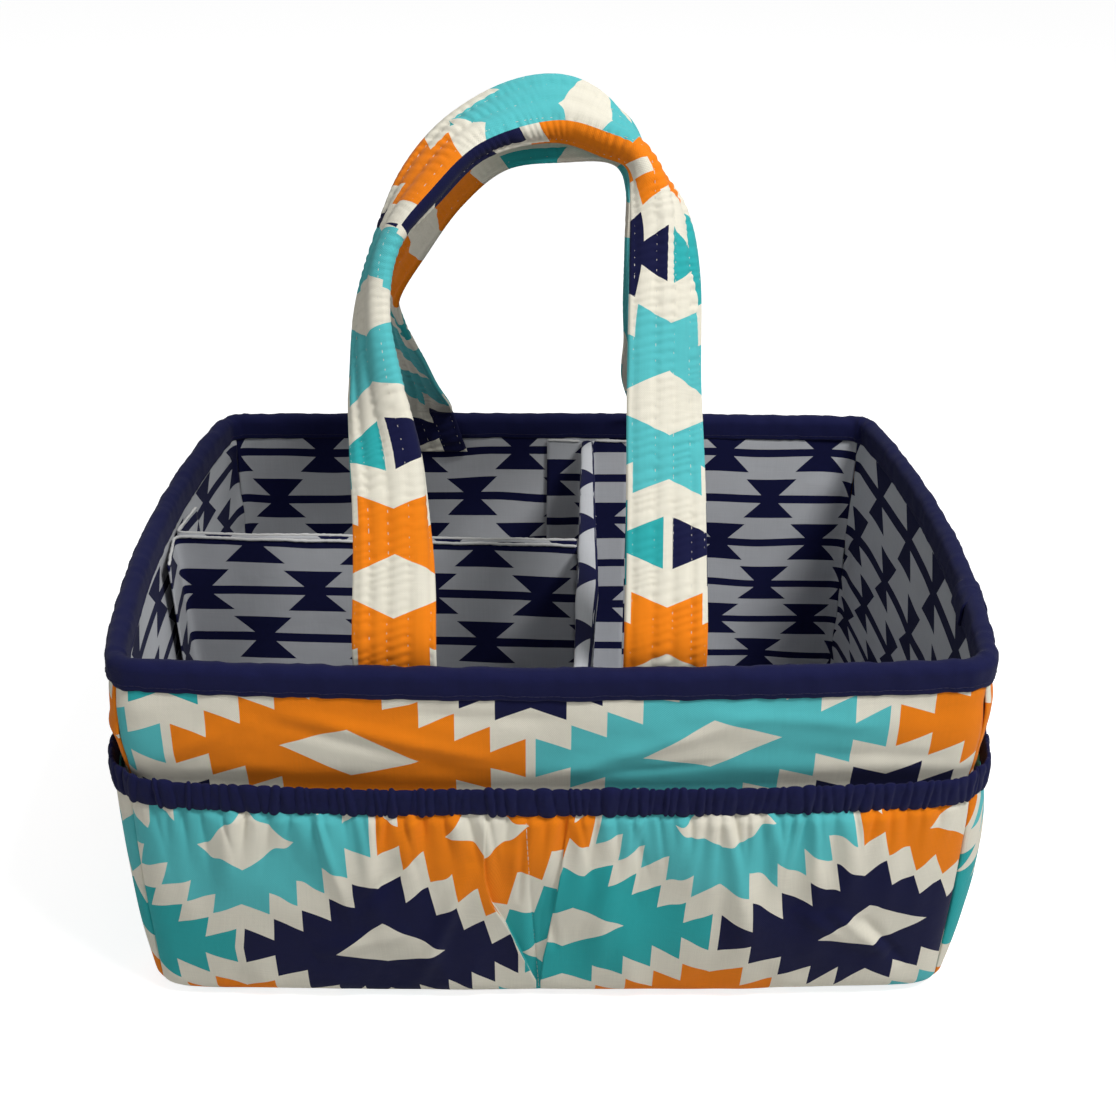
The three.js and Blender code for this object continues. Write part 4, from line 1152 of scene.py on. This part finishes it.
HANDLES = {
    "front": dict(places=FRONT_PLACES, legs=(-62.7, 44.7), rise=215.0, lean=-32.0, y=-129.478,
                  slant=(0, 0), inside=-1),
    "rear": dict(places=REAR_PLACES, legs=(-65.0, 63.0), rise=213.0, lean=35.5, y=125.263,
                 slant=(7.6, 0), inside=1),
}


def through(points, share):
    """A smooth curve through points, at shares 0 to 1 of it."""
    points = np.array(points, float)
    count = len(points)
    wide = np.vstack([2 * points[0] - points[1], points, 2 * points[-1] - points[-2]])
    x = np.clip(share, 0, 1) * (count - 1)
    i = np.minimum(x.astype(int), count - 2)
    k = (x - i)[:, None]
    before, start, end, after = (wide[i + step] for step in range(4))
    leave, arrive = (end - before) / 2, (after - start) / 2
    return ((2 * k**3 - 3 * k**2 + 1) * start + (k**3 - 2 * k**2 + k) * leave
            + (3 * k**2 - 2 * k**3) * end + (k**3 - k**2) * arrive)


def folded(across, crease, outer_fold, inner_fold):
    """Where the folded strip's middle layer is, [out of the arch, backwards], and its slope there."""
    def slope(a):
        k = smooth(a, crease - CREASE_EASE, crease + CREASE_EASE)
        return np.radians(-inner_fold + (outer_fold + inner_fold) * k)
    step = (across - crease) / FOLD_STEPS
    x, y = 0 * step, 0 * step
    for i in range(FOLD_STEPS):
        angle = slope(crease + step * (i + 0.5))
        x, y = x + np.cos(angle) * step, y - np.sin(angle) * step
    return x, y, slope(across)


def strap_middle(handle, share, across):
    """Points of the strap's middle layer, and the way its front face looks, before it leans.
    across has a row for each share, or one row for all."""
    places = np.array(handle["places"])
    left, right = handle["legs"]
    route = np.stack([(left + right) / 2 + (right - left) * places[:, 0], 0 * places[:, 0],
                      handle["rise"] * places[:, 1]], 1)
    run = unit(through(route, share + 1e-4) - through(route, share - 1e-4))
    run[share <= 0], run[share >= 1] = (0, 0, 1), (0, 0, -1)
    out = np.stack([-run[:, 2], 0 * run[:, 0], run[:, 0]], 1)[:, None]
    inner, outer_fold, inner_fold = (through(places[:, 2:5], share)[:, k, None] for k in range(3))
    ridge = through(places[:, 5:] * STRAP_WIDTH, share)
    x, y, slope = folded(across, STRAP_WIDTH * (inner - 0.5), outer_fold, inner_fold)
    front = np.array([0, -1.0, 0])
    points = through(route, share)[:, None] + out * x[..., None] + front * (ridge + y)[..., None]
    return points, out * np.sin(slope)[..., None] + front * np.cos(slope)[..., None]


for handle in HANDLES.values():
    share = np.linspace(0, 1, MEASURES)
    lengths = travel(strap_middle(handle, share, np.zeros((1, 1)))[0][:, 0])
    handle["measure"] = share, lengths
    print("handle from hinge to hinge:", round(float(lengths[-1]), 1), "mm")

# %% [markdown]
# Above the rim a handle leans inwards. The strap is drawn upright first and then bent: a point below the
# hinge line stays, one above it turns with the lean, and a few millimetres between them bend smoothly, as
# padded cloth does.

# %% Place and bend the strap
def bend_at_rim(points, handle):
    lean = math.radians(handle["lean"])
    upright, leaning = np.array([0.0, 1.0]), np.array([-math.sin(lean), math.cos(lean)])
    x, y, z = (points[..., k, None] for k in range(3))
    k = np.clip((z + HINGE_BEND) / (2 * HINGE_BEND), 0, 1)
    bent = HINGE_BEND * (k**2 * leaning - (1 - k) ** 2 * upright)
    centre = np.where(z > HINGE_BEND, z * leaning, np.where(z < -HINGE_BEND, z * upright, bent))
    way = unit((1 - k) * upright + k * leaning)
    side = np.stack([way[..., 1], -way[..., 0]], -1)
    return np.concatenate([x, centre + y * side + [handle["y"], HINGE_LEVEL]], -1)


def on_strap(handle, along, across, height):
    """Points of a handle: along it from the left hinge, across it, and height out of its middle layer."""
    share, lengths = handle["measure"]
    points, face = strap_middle(handle, np.interp(along, lengths, share), across)
    below = -np.minimum(along, 0) - np.minimum(lengths[-1] - along, 0)
    slant = np.where(along < 0, *handle["slant"]) * below / END_DROP
    tuck = handle["inside"] * TUCK * smooth(below, *TUCKED)
    points += np.stack([slant, tuck, -below], -1)[:, None]
    return bend_at_rim(points + face * height[..., None], handle)


# %% [markdown]
# ### Padding between the stitch rows
# Five rows of stitches run along the strap. The height of its face is high in the channels, low at the
# rows, round at the two edges, and rippled by small puckers across the rows.

# %% Quilting relief
STITCH_ROWS = np.array([0.07, 0.33, 0.57, 0.80, 0.96])
PADDING, CHANNEL_RISE, PUCKER, PUCKER_PITCH, EDGE_ROUND = 1.4, 0.9, 1.25, 3.8, 2.4


def row_places(along, seed):
    """Where each stitch row is across the strap, drifting a little as hand-guided rows do."""
    drift = 0.016 * cloud(along[:, None], STITCH_ROWS * 900, 70, 60, seed)
    return ((STITCH_ROWS + drift) - 0.5) * STRAP_WIDTH


def padding(along, across, seed, puckered=True):
    """Height of a face over the strap's middle layer."""
    rows = row_places(along, seed)[:, None]
    gap = np.abs(across[..., None] - rows).min(-1)
    lane = (across[..., None] > rows).sum(-1)
    long = along[:, None] + 0.3 * across
    phase = long / PUCKER_PITCH + 1.1 * cloud(long, lane * 7, 11, 3, seed + 1) + 0.37 * lane
    ridge = np.abs(np.sin(np.pi * phase)) ** 0.7 - 0.62
    strength = np.clip(0.6 + 0.7 * cloud(long, lane * 7, 16, 3, seed + 2), 0.1, 1.2)
    edge = STRAP_WIDTH / 2 - np.abs(across)
    pucker = puckered * PUCKER * strength * ridge * (0.4 + 0.6 * hill(gap, 2.8)) * np.clip(edge / 5, 0.2, 1)
    rounding = np.sqrt(1 - (1 - np.clip(edge / EDGE_ROUND, 0, 1)) ** 2)
    soft = 0.25 * cloud(long, across + 40, 24, 12, seed + 3)
    return (PADDING + CHANNEL_RISE * (1 - hill(gap, 1.9)) + pucker + soft) * rounding


# %% [markdown]
# ### Print on the handles
# Along the legs the print runs up the strap. Over the arch the two sides of the crease show different
# parts of it, so each side has a table of lengths along the strap, rows of the print, and sideways moves.
# A quad takes its whole piece of print from one table, so the print breaks cleanly at the crease.

# %% Where the print lies on each strap
LEG_PRINT = [(-30, -0.92, 0), (0, -0.4, 0), (22.7, 0, 0), (80, 1, 0), (137.5, 2, 0)]
OUTER_PRINT = [
    (-99, LEG_PRINT + [(166, 2.53, 0), (170, 2.6, 0)]),
    (170, [(170, 3.375, 38), (197.5, 4, 38), (219.5, 4.5, 38)]),
    (219.5, [(219.5, 5.34, 3), (226, 5.42, 3), (264, 5.8, 0), (273, 6, 0), (284, 6.2, 0), (298, 6.58, 0)]),
    (298, [(298, 8.22, 0), (322, 8.56, 0), (350, 9, 0), (411, 10, 0), (467, 11, 0), (524, 12, 0),
           (540, 12.28, 0)]),
]
INNER_PRINT = [
    (-99, LEG_PRINT + [(148, 2.3, 0), (158, 2.54, 0), (168, 2.6, 0)]),
    (168, [(168, 2.57, 44), (172, 2.62, 44), (212, 3.03, 44), (242, 3.37, 44), (252, 3.64, 44),
           (277, 4, 44), (306, 4.36, 44), (314, 4.45, 44)]),
    (314, [(314, 4.5, 0), (324, 4.58, 0), (350, 5, 0), (411, 6, 0), (467, 7, 0), (524, 8, 0),
           (540, 8.28, 0)]),
]
REAR_PRINT = [
    (-99, [(-30, -1.32, -12), (-12, -1, -12), (12, -0.58, -12), (45, 0, -12), (80, 0.62, -8),
           (100, 1.15, 4), (112, 1.4, 9), (145, 1.8, 9), (158, 2, 9), (172, 2.2, 9), (208, 2.6, 9),
           (225, 2.87, 9), (245, 3.13, 9), (275, 3.42, 9), (305, 4, 9), (330, 4.3, 9), (420, 4.58, 0),
           (480, 5.1, 0), (540, 6.2, 0)]),
]
REAR_TURNED, SPREAD_AT, SPREAD_WIDTH = (212, 262), 343, 22


def in_pieces(pieces, along, k):
    """Column k of the table whose piece of print each quad lies in."""
    middle, value = along.mean(-1, keepdims=True), 0 * along
    for start, table in pieces:
        table = np.array(table)
        value = np.where(middle >= start, np.interp(along, table[:, 0], table[:, k]), value)
    return value


def strap_print(label, along, across, outer):
    """Places on the printed cloth. along and across have a last axis with the four corners of a quad.
    outer says which quads lie outside the crease."""
    if label == "front":
        tables, turned = (OUTER_PRINT, INNER_PRINT), PRINT_PITCH
        across = across + 0.6 * (across + 2) * hill(along - SPREAD_AT, SPREAD_WIDTH)
    else:
        middle = along.mean(-1, keepdims=True)
        tables = REAR_PRINT, REAR_PRINT
        turned = np.where((middle > REAR_TURNED[0]) & (middle < REAR_TURNED[1]), PRINT_PITCH, 0)
    row, shift = (np.where(outer, *(in_pieces(table, along, k) for table in tables)) for k in (1, 2))
    return together(across + shift + turned, -row * ROW_PITCH)


# %% Build both straps and their stitches
FACE_STEPS, CROWDING, CREASE_COLUMN, STRAP_SPACING, CLOSING = 46, 1.35, -3.5, 0.75, 2.5
BACK_SEED, BACK_PRINT, STITCH_SINK, BLEND = 5, (60, 12), 0.3, [0, 0, 0.008]
STRAP_HALF = STRAP_WIDTH / 2
strap_columns = STRAP_HALF * np.sin(np.linspace(-1, 1, FACE_STEPS) * CROWDING) / math.sin(CROWDING)
strap_columns = np.sort(np.append(strap_columns, CREASE_COLUMN))


def columns_along(handle, along):
    """Places across the strap, a row for each place along it. One column follows the crease."""
    share, lengths = handle["measure"]
    inner = through(np.array(handle["places"])[:, 2:3], np.interp(along, lengths, share))
    crease = STRAP_WIDTH * (inner - 0.5) - 0.25
    before = (strap_columns + STRAP_HALF) / (CREASE_COLUMN + STRAP_HALF) * (crease + STRAP_HALF) - STRAP_HALF
    after = STRAP_HALF - (STRAP_HALF - strap_columns) / (STRAP_HALF - CREASE_COLUMN) * (STRAP_HALF - crease)
    return np.where(strap_columns < CREASE_COLUMN, before, after)


for label, handle in HANDLES.items():
    seed = 201 + 10 * (label == "rear")
    length = handle["measure"][1][-1]
    along = np.linspace(-END_DROP, length + END_DROP, int((length + 2 * END_DROP) / STRAP_SPACING))
    ends = np.clip(np.minimum(along + END_DROP, length + END_DROP - along) / CLOSING, 0, 1)
    closing = np.sqrt(np.clip(1 - (1 - ends) ** 2, 0.0004, 1))[:, None]
    across = columns_along(handle, along)
    front = on_strap(handle, along, across, padding(along, across, seed) * closing)
    back = on_strap(handle, along, across, -padding(along, across, seed + BACK_SEED) * closing)
    grid = np.concatenate([front, back[:, ::-1]], 1)
    around = np.concatenate([across, across[:, ::-1], across[:, :1]], 1)
    at, over = (np.stack([place[c] for c in CORNERS], -1) for place in (along[:, None] + 0 * around, around))
    quad = np.arange(around.shape[1] - 1)[:, None]
    cloth_at = strap_print(label, at, over, quad >= np.searchsorted(strap_columns, CREASE_COLUMN))
    if label == "front":
        on_back = (quad >= len(strap_columns) - 1)[..., None]
        cloth_at = np.where(on_back, together(over + BACK_PRINT[0], at + BACK_PRINT[1]), cloth_at)
    nodes = [f"{label}_handle_strap", f"{label}_handle_end_left", f"{label}_handle_end_right"]
    strap = sew(f"{label}_quilted_strap", grid, cloth_at, quilted_cotton, ring=True, body=None,
                stands_for=nodes, slot="quilted_strap")
    runs = []
    for side, side_seed in ((1, seed), (-1, seed + BACK_SEED)):
        rows = row_places(along, side_seed)
        height = padding(along, rows, side_seed, False) - STITCH_SINK
        path, beyond = (on_strap(handle, along, rows, side * (height + lift)) for lift in (0, 1))
        runs += [(path[3:-3, k], (beyond - path)[3:-3, k]) for k in range(rows.shape[1])]
    mesh = thread_mesh(f"{label}_strap_stitches", runs)
    stitches = add_piece(f"{label}_strap_stitches", mesh, white_thread, body=None, slot="quilted_strap")
    for piece in (strap, stitches):
        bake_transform(piece)
    print(stitches.name, len(stitches.data.polygons), "faces")

# %% [markdown]
# ## Seam down the front
# The front pocket panel is held to the wall by a short upright seam near its middle, which makes two
# pockets of it. The cloth sinks in along the seam, and the two pleats meet at its foot.

# %% Stitches of the pocket seam
SEAM_FOOT, SEAM_TOP = 6, 104
z = np.linspace(SEAM_FOOT, SEAM_TOP, 120)
t = seam_at("front", z) / FRONT_HALF
depth = -pocket_surface("front", t, z)
path, beyond = (on_wall("front", t, z, depth - lift) for lift in (0, 1))
mesh = thread_mesh("pocket_seam_stitches", [(path, beyond - path)])
piece = add_piece("pocket_seam_stitches", mesh, white_thread, slot="print_cotton")
print(piece.name, len(mesh.polygons), "faces")

# %% [markdown]
# ## Studio
# A white floor and a white surround, three soft lamps, and the camera where the photograph was taken
# from. The floor gives the camera a little light of its own, so that it looks white but keeps the shadow.

# %% Floor and world
FLOOR_REACH, FLOOR_DROP, WHITE = 4, -0.0006, (1, 1, 1, 1)


def camera_light(tree, extra, base):
    """A strength of base for every ray, and extra for those of the camera."""
    rays = tree.nodes.new("ShaderNodeLightPath")
    return Wire(tree, rays.outputs["Is Camera Ray"]) * extra + base


floor_mesh = bpy.data.meshes.new("studio_floor")
floor_mesh.from_pydata([(FLOOR_REACH * x, FLOOR_REACH * y, FLOOR_DROP)
                        for x, y in ((-1, -1), (1, -1), (1, 1), (-1, 1))], [], [(0, 1, 2, 3)])
paper = bpy.data.materials.new("studio paper")
paper.use_nodes = True
surface = paper.node_tree.nodes["Principled BSDF"].inputs
lit = camera_light(paper.node_tree, extra=0.8, base=0.0)
for label, value in (("Base Color", (0.6, 0.6, 0.6, 1)), ("Roughness", 0.9), ("Specular IOR Level", 0.1),
                     ("Emission Color", WHITE), ("Emission Strength", lit)):
    plug(surface[label], value)
add_piece("studio_floor", floor_mesh, paper, body=None)

world = bpy.data.worlds.new("white studio")
bpy.context.scene.world = world
world.use_nodes = True
air = world.node_tree.nodes["Background"].inputs
plug(air["Color"], WHITE)
plug(air["Strength"], camera_light(world.node_tree, extra=0.73, base=0.27))

# %% Lamps and camera
UP, LAMP_AIM = np.array([0, 0, 1.0]), np.array([0, 0, 0.1])
LAMPS = {  # place, size in metres and power in watts
    "key lamp": ((0.78, -0.7, 1.62), 0.5, 24),
    "side lamp": ((-1.4, -0.9, 0.9), 0.9, 1.6),
    "back lamp": ((0.3, 1.3, 1.6), 1.0, 3),
}
CAMERA_PLACE, CAMERA_TURN, LENS = (-0.01094, -0.66317, 0.488), (1.11, 26.89, 0.6), 50.13


def set_up(name, data, right, up, back, place):
    """Put a lamp or a camera in the studio, looking away from back."""
    holder = bpy.data.objects.new(name, data)
    bpy.context.scene.collection.objects.link(holder)
    turned = np.stack([right, up, back, place], 1)
    holder.matrix_world = Matrix([*turned.tolist(), [0, 0, 0, 1]])
    return holder


for name, (place, size, power) in LAMPS.items():
    lamp = bpy.data.lights.new(name, "AREA")
    lamp.shape, lamp.size, lamp.energy = "DISK", size, power
    back = unit(place - LAMP_AIM)
    right = unit(np.cross(UP, back))
    set_up(name, lamp, right, np.cross(back, right), back, place)

yaw, pitch, roll = np.radians(CAMERA_TURN)
forward = np.array([math.sin(yaw) * math.cos(pitch), math.cos(yaw) * math.cos(pitch), -math.sin(pitch)])
right = np.array([math.cos(yaw), -math.sin(yaw), 0.0])
up = np.cross(right, forward)
right, up = math.cos(roll) * right + math.sin(roll) * up, math.cos(roll) * up - math.sin(roll) * right
lens = bpy.data.cameras.new("photo camera")
lens.sensor_width, lens.lens = 36.0, LENS
bpy.context.scene.camera = set_up("photo camera", lens, right, up, -forward, CAMERA_PLACE)
bpy.context.scene.view_settings.view_transform = "Standard"
print("lamps:", len(LAMPS), "lens:", LENS, "mm")
